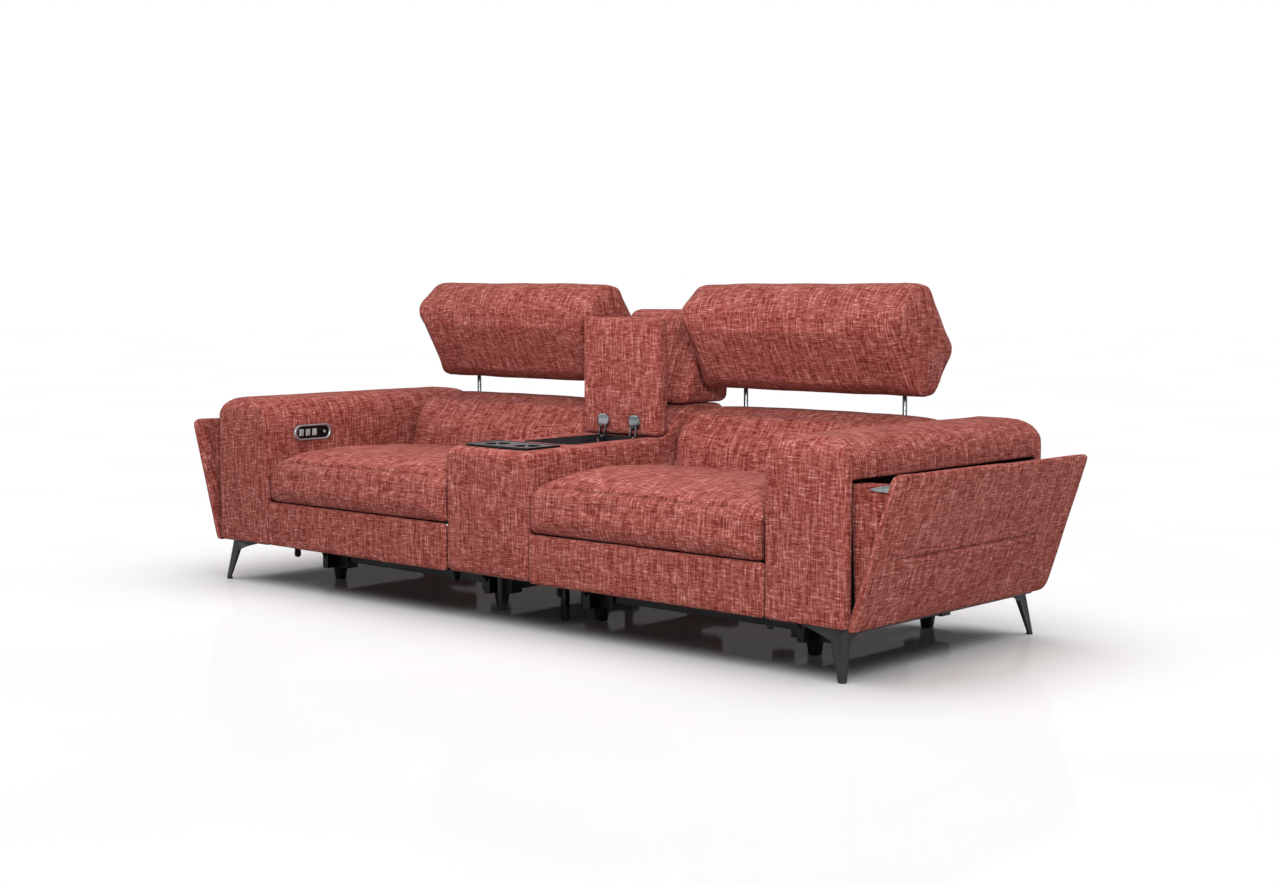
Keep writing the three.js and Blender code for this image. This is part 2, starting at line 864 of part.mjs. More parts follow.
function makeConsoleBody() {
  const profile = rounded([
    [consoleBody.front, consoleBody.ground, consoleBody.bottomRadius],
    [rearLine, consoleBody.ground, consoleBody.bottomRadius],
    [rearLine, consoleBody.rearTop, consoleBody.rearRadius],
    [rearLine - consoleBody.sweepEndAhead, consoleBody.rearTop, consoleBody.sweepHighRadius],
    [rearLine - consoleBody.sweepStartAhead, consoleBody.deck, consoleBody.sweepLowRadius],
    [deckStart, consoleBody.deck, consoleBody.deckRadius],
    [consoleBody.front, consoleBody.frontTop, consoleBody.frontRadius],
  ]);
  const half = consoleSide - fit;
  const lidBay = block(
    [-lid.halfWidth - softGap, lidAxisY - overrun, consoleBody.deck],
    [lid.halfWidth + softGap, lidFront + lid.thickness + 2 * softGap, consoleBody.rearTop + overrun],
  );
  const boxHole = rectangle(
    -storage.halfWidth,
    storage.front,
    storage.halfWidth,
    storageRear,
    storage.cornerRadius,
  );
  const wells = [-1, 1].map((sign) => rodAlongZ(
    tray.wellRadius + tray.wellWall + fit,
    consoleBody.frontTop - tray.wellDepth - softGap,
    consoleBody.deck + overrun,
    sign * tray.wellPlace,
    tray.front + tray.depth / 2,
    tray.wellSides,
  ));
  const body = pad(profile, -half, half, { endRadius: consoleBody.sideRadius })
    .subtract(lidBay)
    .subtract(alongZ(boxHole, storage.floor, consoleBody.rearTop + overrun))
    .subtract(wells[0])
    .subtract(wells[1]);
  add(sofa, 'console_body', body, materials.fabric);
}

function makeStorageBox() {
  const { halfWidth, front, floor, wall, cornerRadius } = storage;
  const rear = storageRear - fit;
  const outer = rectangle(-halfWidth + fit, front + fit, halfWidth - fit, rear, cornerRadius - fit);
  const wallIn = wall + fit;
  const inner = rectangle(
    -halfWidth + wallIn,
    front + wallIn,
    halfWidth - wallIn,
    rear - wall,
    cornerRadius - wallIn,
  );
  const top = consoleBody.deck - storage.rimDrop;
  const box = alongZ(outer, floor + fit, top).subtract(alongZ(inner, floor + wallIn, top + overrun));
  add(sofa, 'storage_box', box, materials.plastic);
}

function makeTray() {
  const rear = tray.front + tray.depth;
  const middle = tray.front + tray.depth / 2;
  const slope = (consoleBody.deck - consoleBody.frontTop) / (deckStart - consoleBody.front);
  const under = consoleBody.frontTop + slope * rear + fit;
  const top = under + tray.thickness;
  const plateOutline = rectangle(-tray.halfWidth, tray.front, tray.halfWidth, rear, tray.cornerRadius);
  let body = alongZ(plateOutline, under, top + tray.rimHeight)
    .subtract(alongZ(inset(plateOutline, tray.rimWidth), top, top + tray.rimHeight + overrun));
  const bottom = consoleBody.frontTop - tray.wellDepth;
  for (const sign of [-1, 1]) {
    const place = sign * tray.wellPlace;
    body = body.add(rodAlongZ(tray.wellRadius + tray.wellWall, bottom, top, place, middle, tray.wellSides));
  }
  for (const sign of [-1, 1]) {
    const place = sign * tray.wellPlace;
    const floor = bottom + tray.wellWall;
    body = body.subtract(rodAlongZ(tray.wellRadius, floor, top + overrun, place, middle, tray.wellSides));
  }
  add(sofa, 'cup_tray', body, materials.plastic);
}

function makeLid() {
  const rear = lidFront + lid.thickness;
  const top = lidBottom + lid.height;
  const middle = (lidBottom + top) / 2;
  const profile = rounded([
    [lidFront, lidBottom, lid.cornerRadius],
    [rear, lidBottom, lid.cornerRadius],
    [rear + lid.crown, middle],
    [rear, top, lid.cornerRadius],
    [lidFront, top, lid.cornerRadius],
  ]);
  let body = pad(profile, -lid.halfWidth, lid.halfWidth, { endRadius: lid.endRadius });
  for (const sign of [-1, 1]) {
    const rearOfCup = lidFront + lidHinge.cupDepth + fit;
    const place = sign * lidHinge.place;
    const height = lidBottom + lidHinge.cupHeight;
    const radius = lidHinge.cupRadius + fit;
    body = body.subtract(rodAlongY(radius, lidFront - overrun, rearOfCup, place, height, cupSides));
  }
  add(sofa, 'console_lid', body, materials.fabric);
}

// A cup hinge: the cup sits in the lid, the arm on the rear wall of the storage box
function makeLidHinge(side) {
  const place = lidHinge.place;
  const cupZ = lidBottom + lidHinge.cupHeight;
  const face = lidFront - fit;
  const plateFront = face - lidHinge.plateThickness;
  const plateHalf = lidHinge.plateWidth / 2;
  const plateTall = lidHinge.plateHeight / 2;
  const plateOutline = rectangle(
    place - plateHalf,
    cupZ - plateTall,
    place + plateHalf,
    cupZ + plateTall,
    lidHinge.plateRadius,
    steelSteps + 1,
  );
  const lugOutline = rounded([
    [face, cupZ],
    [plateFront, cupZ],
    [lidAxisY - lidHinge.knuckleRadius, lidAxisZ + lidHinge.knuckleRadius, lidHinge.knuckleRadius],
    [lidAxisY - lidHinge.knuckleRadius, lidAxisZ - lidHinge.knuckleRadius, lidHinge.knuckleRadius],
    [face, lidAxisZ - lidHinge.knuckleRadius, lidHinge.knuckleRadius / 2],
  ], steelSteps);
  const pinHole = roundHole(lidAxisY, lidAxisZ, lidHinge.pinRadius + pinGap);
  let cup = alongY(plateOutline, plateFront, face)
    .add(rodAlongY(lidHinge.cupRadius, plateFront, lidFront + lidHinge.cupDepth, place, cupZ, cupSides));
  for (const sign of [-1, 1]) {
    const near = place + sign * lidHinge.lugWidth;
    const far = near + sign * lidHinge.lugThickness;
    cup = cup.add(alongX(lugOutline, Math.min(near, far), Math.max(near, far), [pinHole]));
  }
  add(sofa, 'lid_hinge_cup', cup, materials.chrome, side);

  const wall = storageRear - storage.wall - 2 * fit;
  const footTop = lidAxisZ - lidHinge.footTop;
  const armOutline = rounded([
    [wall - lidHinge.footThickness, footTop - lidHinge.footHeight],
    [wall, footTop - lidHinge.footHeight],
    [wall, footTop, lidHinge.footThickness / 2],
    [lidAxisY + lidHinge.armThickness / 2, lidAxisZ + lidHinge.pinRadius, lidHinge.pinRadius],
    [lidAxisY - lidHinge.armThickness / 2, lidAxisZ + lidHinge.pinRadius, lidHinge.pinRadius],
    [lidAxisY - lidHinge.armThickness / 2, lidAxisZ - lidHinge.armThickness, lidHinge.pinRadius],
    [wall - lidHinge.footThickness, footTop - lidHinge.armThickness, lidHinge.armThickness / 2],
  ], steelSteps);
  const pinEnd = lidHinge.lugWidth + lidHinge.lugThickness;
  const hingeArm = alongX(armOutline, place - lidHinge.armHalf, place + lidHinge.armHalf)
    .add(rodAlongX(lidHinge.pinRadius, place - pinEnd, place + pinEnd, lidAxisY, lidAxisZ));
  add(sofa, 'lid_hinge_arm', hingeArm, materials.chrome, side);
}

function makeHeadBlock() {
  const bottom = consoleBody.rearTop + fit;
  const profile = rounded([
    [rearLine - headBlock.frontLowAhead, bottom, headBlock.frontLowRadius],
    [rearLine + headBlock.rearOverhang, bottom, headBlock.rearLowRadius],
    [rearLine + headBlock.rearOverhang, headBlock.top, headBlock.rearHighRadius],
    [rearLine - headBlock.frontHighAhead, headBlock.top, headBlock.frontHighRadius],
  ]);
  const half = headBlock.halfWidth;
  const body = pad(profile, -half, half, { endRadius: headBlock.endRadius });
  add(sofa, 'console_head_block', body, materials.fabric);
}

function makeConsoleStand() {
  const top = consoleBody.ground - fit;
  const half = consoleStand.legWidth / 2;
  const place = consoleStand.legPlace;
  const railLow = top - consoleStand.railHeight;
  const { frontLeg } = consoleStand;
  const rearLeg = rearLine - consoleStand.rearLegAhead;
  let body = block([-place, frontLeg - half, railLow], [place, frontLeg + half, top])
    .add(block([-place, rearLeg - half, railLow], [place, rearLeg + half, top]))
    .add(block([-half, frontLeg, railLow], [half, rearLeg, top]));
  for (const x of [-place, place]) {
    for (const y of [frontLeg, rearLeg]) {
      body = body.add(block([x - half, y - half, 0], [x + half, y + half, top]));
    }
  }
  add(sofa, 'console_stand', body, materials.plastic);
}

function makeSeat(side) {
  const front = -seatProud;
  const profile = rounded([
    [front, seatSeam, seat.noseRadius],
    [front + seat.noseDepth, seatSeam],
    [front + seat.noseDepth + seat.noseSlope, seat.underside, seat.undersideRadius],
    [seatRear, seat.underside, seat.undersideRadius],
    [seatRear, seatSeam + seat.rearShare * seatRise, seat.rearRadius],
    [seat.crownPlace, seatSeam + seat.crownShare * seatRise, seat.crownRadius],
    [front, seatSeam + seat.noseShare * seatRise, seat.frontRadius],
  ]);
  const shape = {
    endRadius: seat.endRadius,
    drop: seat.sideDrop,
    dropFrom: seat.underside,
    reach: seat.sideReach,
  };
  const body = pad(profile, consoleSide + softGap, armInner - softGap, shape);
  add(sofa, 'seat_cushion', body, materials.fabric, side);
}

function makeBack(side, group) {
  const profile = rounded([
    [rearLine - back.lowFrontAhead, back.underside, back.lowRadius],
    [rearLine - back.skirtTopAhead, back.underside, back.skirtRadius],
    [rearLine - back.skirtThickness, back.skirtBottom, back.skirtRadius],
    [rearLine, back.skirtBottom, back.skirtRadius],
    [rearLine, back.top, back.rearRadius],
    [rearLine - back.topFrontAhead, back.top, back.topRadius],
    [rearLine - back.bulgeFrontAhead, back.bulgeHeight, back.bulgeRadius],
    [rearLine - back.seatFrontAhead, back.seatHeight, back.seatRadius],
    [rearLine - back.lowFrontAhead, back.lowHeight, back.lowRadius],
  ].map(([y, z, radius]) => [y - backPivot.y, z - backPivot.z, radius]));
  const shape = { endRadius: back.endRadius };
  let body = pad(profile, consoleSide + softGap, armInner - softGap, shape);
  const boreBottom = yoke.postBottom - yoke.lift - overrun - backPivot.z;
  const boreTop = back.top + overrun - backPivot.z;
  for (const post of [innerPost, outerPost]) {
    const radius = yoke.postRadius + yoke.boreGap;
    body = body.subtract(rodAlongZ(radius, boreBottom, boreTop, post, yokeY - backPivot.y));
  }
  add(group, 'backrest', body, materials.fabric, side);
}

function makeBackBracket(side, group) {
  const plateIn = railSpread - recliner.plateThickness / 2 - plateGap;
  const flangeTop = back.underside - fit - backPivot.z;
  const flangeLow = flangeTop - backPivot.flangeThickness;
  let body = block(
    [seatMiddle - plateIn, -backPivot.flangeFront, flangeLow],
    [seatMiddle + plateIn, backPivot.flangeRear, flangeTop],
  );
  const lug = rounded([
    [-backPivot.lugRadius, -backPivot.lugRadius, backPivot.lugRadius],
    [backPivot.lugRadius, -backPivot.lugRadius, backPivot.lugRadius],
    [2 * backPivot.lugRadius, flangeLow + fit],
    [-2 * backPivot.lugRadius, flangeLow + fit],
  ], steelSteps);
  for (const sign of [-1, 1]) {
    const outer = seatMiddle + sign * plateIn;
    const inner = outer - sign * backPivot.lugThickness;
    const pinEnd = seatMiddle + sign * (railSpread + recliner.plateThickness / 2);
    body = body
      .add(alongX(lug, Math.min(inner, outer), Math.max(inner, outer)))
      .add(rodAlongX(backPivot.pinRadius, Math.min(inner, pinEnd), Math.max(inner, pinEnd), 0, 0));
  }
  add(group, 'back_bracket', body, materials.steel, side);
}

function makeYoke(side, group) {
  const y = yokeY - backPivot.y;
  const bottom = yoke.postBottom - backPivot.z;
  const barZ = yoke.barHeight - backPivot.z;
  const { postRadius, barRadius } = yoke;
  const body = rodAlongX(barRadius, innerPost, outerPost, y, barZ)
    .add(rodAlongZ(postRadius, bottom, barZ + barRadius, innerPost, y))
    .add(rodAlongZ(postRadius, bottom, barZ + barRadius, outerPost, y));
  add(group, 'headrest_yoke', body, materials.chrome, side);
}

function makeHeadrest(side, group) {
  const [shiftY, shiftZ] = [yokeY, yoke.barHeight];
  const profile = rounded([
    [rearLine - headrest.topFrontAhead, headrest.topFrontZ, headrest.topRadius],
    [rearLine - headrest.noseAhead, headrest.noseZ, headrest.noseRadius],
    [rearLine - headrest.lowFrontAhead, headrest.lowFrontZ, headrest.lowRadius],
    [rearLine - headrest.lowRearAhead, headrest.lowRearZ, headrest.lowRadius],
    [rearLine + headrest.tailOverhang, headrest.tailZ, headrest.tailRadius],
    [rearLine - headrest.topRearAhead, headrest.topRearZ, headrest.topRadius],
  ].map(([y, z, radius]) => [y - shiftY, z - shiftZ, radius]));
  const shape = {
    endRadius: headrest.endRadius,
    taperShare: headrest.taperShare,
    reach: headrest.taperReach,
  };
  let body = pad(profile, consoleSide + headrest.consoleGap, armInner - headrest.armGap, shape);
  const room = yoke.postRadius + yoke.boreGap + yoke.slotSide;
  const barRoom = yoke.barRadius + yoke.boreGap;
  body = body.subtract(rodAlongX(barRoom, innerPost, outerPost, 0, 0));
  const middle = new THREE.Vector2();
  const forward = THREE.MathUtils.degToRad(-headrest.tilt);
  const slot = [
    new THREE.Vector2(room, room).rotateAround(middle, forward),
    new THREE.Vector2(room, room),
    new THREE.Vector2(-room, room).rotateAround(middle, forward),
    new THREE.Vector2(-room, room),
    new THREE.Vector2(-room, -yoke.slotDepth).rotateAround(middle, forward),
    new THREE.Vector2(room, -yoke.slotDepth),
  ];
  for (const post of [innerPost, outerPost]) {
    body = body.subtract(alongX(slot, post - room, post + room));
  }
  add(group, 'headrest', body, materials.fabric, side);
}

// Everything above the back pivot turns with the backrest
function makeBackAssembly(side) {
  const leaning = pivot(sofa, backPivot.y, backPivot.z, 0);
  makeBack(side, leaning);
  makeBackBracket(side, leaning);
  makeYoke(side, leaning);
  makeHeadrest(side, pivot(leaning, yokeY - backPivot.y, yoke.barHeight - backPivot.z, 0));
}

function glideSolid(x, y) {
  const profile = [[0, 0], [glide.bottomRadius, 0], [glide.topRadius, glide.height], [0, glide.height]];
  const points = profile.map(([radius, z]) => new THREE.Vector2(radius, z));
  const geometry = new THREE.LatheGeometry(points, glide.sides);
  return solid(geometry.rotateX(Math.PI / 2).translate(x, y, 0));
}

// The wide block between a glide and the rail that stands on it
function glideBlock(x, y, top) {
  const halfWidth = glide.blockWidth / 2;
  const halfDepth = glide.blockDepth / 2;
  return block([x - halfWidth, y - halfDepth, glide.height - fit], [x + halfWidth, y + halfDepth, top]);
}

// The side plate's outline in (y, z): from the nose that holds the footrest to the back pivot
function sidePlateOutline() {
  const railTop = glide.height + recliner.railHeight;
  const top = seat.underside - fit;
  const bossTop = backPivot.z + recliner.pivotBoss;
  const noseRear = recliner.plateFront + recliner.noseWidth;
  return rounded([
    [recliner.plateFront, top, recliner.plateRadius],
    [recliner.plateFront, recliner.plateNose, recliner.plateRadius],
    [noseRear, recliner.plateNose - recliner.noseWidth, recliner.plateRadius],
    [recliner.railFront, railTop - recliner.plateRadius],
    [backPivot.y + 2 * recliner.pivotBoss, railTop - recliner.plateRadius],
    [backPivot.y + recliner.pivotBoss, backPivot.z - recliner.pivotBoss, recliner.pivotBoss],
    [backPivot.y + recliner.pivotBoss, bossTop, recliner.pivotBoss],
    [backPivot.y - recliner.pivotBoss, bossTop, recliner.pivotBoss],
    [seatRear, top, recliner.plateRadius],
  ], steelSteps);
}

function plateWindow() {
  const railTop = glide.height + recliner.railHeight;
  const low = railTop + recliner.windowInset;
  const high = seat.underside - fit - recliner.windowInset;
  const front = recliner.frontTube + recliner.tubeSize + recliner.windowInset;
  const rear = rearTube - recliner.windowInset - recliner.pivotBoss;
  return rounded([
    [front, high, recliner.windowRadius],
    [front, low, recliner.windowRadius],
    [rear, low, recliner.windowRadius],
    [rear - 2 * recliner.pivotBoss, high, recliner.windowRadius],
  ], steelSteps);
}

function makeRecliner(side) {
  const { railWidth, tubeSize, tubeHeight } = recliner;
  const railTop = glide.height + recliner.railHeight;
  let body = null;
  for (const sign of [-1, 1]) {
    const x = seatMiddle + sign * railSpread;
    const rail = block(
      [x - railWidth / 2, recliner.railFront, glide.height - fit],
      [x + railWidth / 2, railRear, railTop],
    );
    const half = recliner.plateThickness / 2;
    const holes = [
      roundHole(linkage.pivotY, linkage.pivotZ, linkage.pinRadius + pinGap),
      roundHole(backPivot.y, backPivot.z, backPivot.pinRadius + pinGap),
      plateWindow(),
    ];
    const plate = alongX(sidePlateOutline(), x - half, x + half, holes);
    const oneSide = rail
      .add(plate)
      .add(glideSolid(x, glide.frontPlace))
      .add(glideSolid(x, glideRear))
      .add(glideBlock(x, glide.frontPlace, railTop))
      .add(glideBlock(x, glideRear, railTop));
    body = body ? body.add(oneSide) : oneSide;
  }
  for (const y of [recliner.frontTube, rearTube]) {
    const tube = block(
      [consoleSide, y, tubeHeight],
      [armInner - fit, y + tubeSize, tubeHeight + tubeSize],
    );
    body = body.add(tube);
  }
  const sill = block(
    [seatMiddle - railSpread, recliner.frontTube, railTop - tubeSize],
    [seatMiddle + railSpread, recliner.frontTube + tubeSize, railTop],
  );
  body = body.add(sill);
  add(sofa, 'recliner_frame', body, materials.steel, side);
}

// A flat bar with round ends between two pivots, one at the origin and one straight above or below
function barOutline(length) {
  const half = linkage.barWidth / 2;
  const [low, high] = length < 0 ? [length, 0] : [0, length];
  return rectangle(-half, low - half, half, high + half, half, steelSteps);
}

// One link frame: two bars, the tube that joins them, and a pin at the far end of each bar.
// place is how many bars lie between this one and the side plate.
function linkFrame(length, place, tubeShare, tubeOffset, nearPin) {
  const { barThickness, pinRadius, tubeRadius } = linkage;
  const step = barThickness + plateGap;
  const outer = railSpread - recliner.plateThickness / 2 - plateGap - place * step;
  const inner = outer - barThickness;
  const tubeZ = length * tubeShare;
  const tabLow = tubeZ - tubeRadius;
  const tabHigh = tubeZ + tubeRadius;
  const [tabNear, tabFar] = [Math.min(0, tubeOffset), Math.max(0, tubeOffset)];
  const tab = rectangle(tabNear - tubeRadius, tabLow, tabFar + tubeRadius, tabHigh, tubeRadius, steelSteps);
  const nearHole = nearPin ? [] : [roundHole(0, 0, pinRadius + pinGap)];
  let body = rodAlongX(tubeRadius, seatMiddle - outer, seatMiddle + outer, tubeOffset, tubeZ, tubeSides);
  for (const sign of [-1, 1]) {
    const [a, b] = [seatMiddle + sign * outer, seatMiddle + sign * inner];
    const [low, high] = [Math.min(a, b), Math.max(a, b)];
    const farEnd = seatMiddle + sign * (inner - plateGap - barThickness);
    const farPin = rodAlongX(pinRadius, Math.min(farEnd, b), Math.max(farEnd, b), 0, length);
    body = body
      .add(alongX(barOutline(length), low, high, nearHole))
      .add(alongX(tab, low, high))
      .add(farPin);
    if (nearPin) {
      const pinEnd = seatMiddle + sign * (railSpread + recliner.plateThickness / 2);
      body = body.add(rodAlongX(pinRadius, Math.min(a, pinEnd), Math.max(a, pinEnd), 0, 0));
    }
  }
  return body;
}

function makeFootrest(side) {
  const fold = linkage.foldAngle;
  const { lowerLength, middleLength, upperLength } = linkage;
  const lower = pivot(sofa, linkage.pivotY, linkage.pivotZ, -fold);
  const lowerBody = linkFrame(-lowerLength, 0, linkage.lowerTubeShare, linkage.lowerTubeOffset, true);
  add(lower, 'footrest_lower_link', lowerBody, materials.steel, side);
  const middle = pivot(lower, 0, -lowerLength, 2 * fold);
  const middleBody = linkFrame(middleLength, 1, linkage.middleTubeShare, linkage.middleTubeOffset, false);
  add(middle, 'footrest_middle_link', middleBody, materials.steel, side);
  const upper = pivot(middle, 0, middleLength, -2 * fold);
  const upperBody = linkFrame(-upperLength, 2, linkage.upperTubeShare, linkage.upperTubeOffset, false);
  add(upper, 'footrest_upper_link', upperBody, materials.steel, side);

  const { front, thickness, bottom, top, cornerRadius } = footrest;
  const boardBody = pad(
    rectangle(front, bottom, front + thickness, top, cornerRadius),
    consoleSide + softGap,
    armInner - softGap,
    { endRadius: footrest.endRadius },
  );
  add(sofa, 'footrest_board', boardBody, materials.fabric, side);

  const foldTurn = THREE.MathUtils.degToRad(fold);
  const reach = (lowerLength + middleLength + upperLength) * Math.sin(foldTurn);
  const pinY = linkage.pivotY - reach;
  const pinZ = linkage.pivotZ + (middleLength - lowerLength - upperLength) * Math.cos(foldTurn);
  const { barThickness, barWidth, pinRadius } = linkage;
  const outer = railSpread - recliner.plateThickness / 2 - plateGap
    - 3 * (barThickness + plateGap);
  const inner = outer - barThickness;
  const plateFront = front + thickness + fit;
  const plateRear = plateFront + footrest.carrierThickness;
  let carrier = block(
    [seatMiddle - outer, plateFront, footrest.carrierBottom],
    [seatMiddle + outer, plateRear, footrest.carrierTop],
  );
  const lug = rectangle(
    plateFront,
    Math.max(pinZ - barWidth / 2, footrest.carrierBottom - barWidth / 2),
    pinY + barWidth / 2,
    pinZ + barWidth / 2,
    barWidth / 4,
    steelSteps,
  );
  for (const sign of [-1, 1]) {
    const [a, b] = [seatMiddle + sign * outer, seatMiddle + sign * inner];
    const hole = roundHole(pinY, pinZ, pinRadius + pinGap);
    carrier = carrier.add(alongX(lug, Math.min(a, b), Math.max(a, b), [hole]));
  }
  add(sofa, 'footrest_carrier', carrier, materials.steel, side);
}

// The power drive of one seat: a rail with a motor housing, and the block that it slides
function makeActuator(side) {
  const front = recliner.frontTube + recliner.tubeSize + fit;
  const rear = rearTube - fit;
  const low = recliner.tubeHeight;
  const high = low + recliner.tubeSize;
  const half = actuator.railWidth / 2;
  const rail = block([seatMiddle - half, front, low], [seatMiddle + half, rear, high]);
  const motorLow = low - actuator.motorDrop;
  const { motorRadius, motorSides } = actuator;
  const motorPlace = rearLine - actuator.motorPlaceAhead;
  const motor = rodAlongZ(motorRadius, motorLow, high, seatMiddle, motorPlace, motorSides);
  add(sofa, 'actuator', rail.add(motor), materials.plastic, side);

  const blockHalf = actuator.blockWidth / 2;
  const blockTop = high + actuator.blockHeight - recliner.tubeSize;
  const blockRear = actuator.blockFront + actuator.blockLength;
  const groove = half + pinGap;
  const sliding = block(
    [seatMiddle - blockHalf, actuator.blockFront, low + actuator.blockOverhang],
    [seatMiddle + blockHalf, blockRear, blockTop],
  ).subtract(block(
    [seatMiddle - groove, actuator.blockFront - overrun, low - overrun],
    [seatMiddle + groove, blockRear + overrun, high + pinGap],
  ));
  add(sofa, 'actuator_block', sliding, materials.plastic, side);
}

for (const side of sides) {
  makeArm(side);
  makeHingeRail(side);
  makePocket(side);
  makeLeg(side, true);
  makeLeg(side, false);
  makeControls(side);
  makeSeat(side);
  makeBackAssembly(side);
  makeRecliner(side);
  makeFootrest(side);
  makeActuator(side);
  makeLidHinge(side);
}
makeConsoleBody();
makeStorageBox();
makeTray();
makeLid();
makeHeadBlock();
makeConsoleStand();

export default sofa;
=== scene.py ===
import json
import math

import bmesh
import bpy
import numpy as np
from mathutils import Matrix, Vector, noise

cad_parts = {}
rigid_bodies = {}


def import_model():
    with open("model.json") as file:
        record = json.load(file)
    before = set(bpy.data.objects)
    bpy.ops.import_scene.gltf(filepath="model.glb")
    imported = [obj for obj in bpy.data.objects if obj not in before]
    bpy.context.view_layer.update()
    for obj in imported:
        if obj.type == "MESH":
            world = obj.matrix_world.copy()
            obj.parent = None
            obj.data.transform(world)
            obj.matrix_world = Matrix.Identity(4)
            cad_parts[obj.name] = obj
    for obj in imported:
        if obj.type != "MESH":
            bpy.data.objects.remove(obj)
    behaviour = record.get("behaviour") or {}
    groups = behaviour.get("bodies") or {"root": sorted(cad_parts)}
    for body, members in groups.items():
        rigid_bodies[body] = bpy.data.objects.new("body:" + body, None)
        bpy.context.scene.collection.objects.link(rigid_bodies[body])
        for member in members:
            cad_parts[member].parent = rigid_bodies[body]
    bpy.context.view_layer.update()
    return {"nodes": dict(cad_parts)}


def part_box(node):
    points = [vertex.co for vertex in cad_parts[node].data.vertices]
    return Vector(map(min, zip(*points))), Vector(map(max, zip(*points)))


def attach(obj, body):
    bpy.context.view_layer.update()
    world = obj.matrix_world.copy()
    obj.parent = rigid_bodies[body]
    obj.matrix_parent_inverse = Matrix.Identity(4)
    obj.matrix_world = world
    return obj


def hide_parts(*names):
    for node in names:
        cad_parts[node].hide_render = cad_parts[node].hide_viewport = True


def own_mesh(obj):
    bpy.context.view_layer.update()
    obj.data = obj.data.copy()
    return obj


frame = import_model()
nodes = frame["nodes"]
mm = 0.001
signs = {"left": -1, "right": 1}
print("frame loaded,", len(nodes), "solids")


# Small helpers
def linear(hexColour):
    channels = [int(hexColour[i:i + 2], 16) / 255 for i in (1, 3, 5)]
    return [c / 12.92 if c <= 0.04045 else ((c + 0.055) / 1.055) ** 2.4 for c in channels] + [1.0]


def addNode(material, kind, inputs=None, **settings):
    node = material.node_tree.nodes.new(kind)
    for name, value in settings.items():
        setattr(node, name, value)
    for name, value in (inputs or {}).items():
        if isinstance(value, bpy.types.NodeSocket):
            material.node_tree.links.new(value, node.inputs[name])
        else:
            node.inputs[name].default_value = value
    return node


def newMaterial(name, roughness, metallic=0.0, **sockets):
    material = bpy.data.materials.new(name)
    material.use_nodes = True
    surface = material.node_tree.nodes["Principled BSDF"]
    surface.inputs["Roughness"].default_value = roughness
    surface.inputs["Metallic"].default_value = metallic
    for socket, value in sockets.items():
        surface.inputs[socket.replace("_", " ")].default_value = value
    return material, surface


def ramp(material, factor, stops):
    node = addNode(material, "ShaderNodeValToRGB", {"Fac": factor})
    while len(node.color_ramp.elements) < len(stops):
        node.color_ramp.elements.new(0.5)
    for element, (place, colour) in zip(node.color_ramp.elements, stops):
        element.position = place
        element.color = linear(colour) if isinstance(colour, str) else (colour, colour, colour, 1)
    return node.outputs["Color"]


def link(material, output, socket):
    material.node_tree.links.new(output, socket)


def maths(material, operation, *values):
    return addNode(material, "ShaderNodeMath", dict(enumerate(values)), operation=operation).outputs[0]


def mixed(material, factor, first, second):
    return addNode(material, "ShaderNodeMix", {"Factor": factor, 2: first, 3: second}).outputs[0]


def noiseOver(material, place, scale, detail, roughness=0.5):
    inputs = {"Vector": place, "Scale": scale, "Detail": detail, "Roughness": roughness}
    return addNode(material, "ShaderNodeTexNoise", inputs).outputs["Fac"]


def relief(material, surface, height, strength, distance):
    inputs = {"Strength": strength, "Distance": distance, "Height": height}
    link(material, addNode(material, "ShaderNodeBump", inputs).outputs["Normal"], surface.inputs["Normal"])


# Woven polyester tweed: slubby yarns of uneven colour, so it looks cross-hatched with fine pale dashes
tweed = {
    "threadSpacing": 3.4,  # mm, drawn about twice as coarse as the cloth, so that it shows at this distance
    "warpDash": 58,  # mm, how far an upright yarn keeps its colour
    "weftDash": 30,
    "rowStep": 7.31,  # how far apart in the noise two yarns lie, so that they don't match
    "wander": (26.0, 1.1),  # scale of the yarns' slow wandering, and how many yarns they wander by
    "under": 0.4,  # share of the deeper one of two crossing yarns
    "patch": (260.0, 0.16),  # scale and strength of the slubs across both
    "fuzz": (620.0, -0.28),  # scale of the fuzz, and how deep the crossings lie in it
    "relief": (0.5, 0.0014),  # strength, and height in metres
    "yarnHeight": 1.6,
    # painted shade: the dark colour that seams and shaded sides are drawn towards
    "seam": "#3a0f0a",
    "deep": "#55170f",
    "dark": "#753028",
    "base": "#8a4840",
    "pale": "#9f5c54",
    "light": "#ca9088",
    "seamShade": 0.72,
    "roughness": 0.95,
    "sheen": (0.04, 0.6, "#f0d8d4"),  # weight, roughness and tint of the fibres' ends
    "specular": 0.06,
}


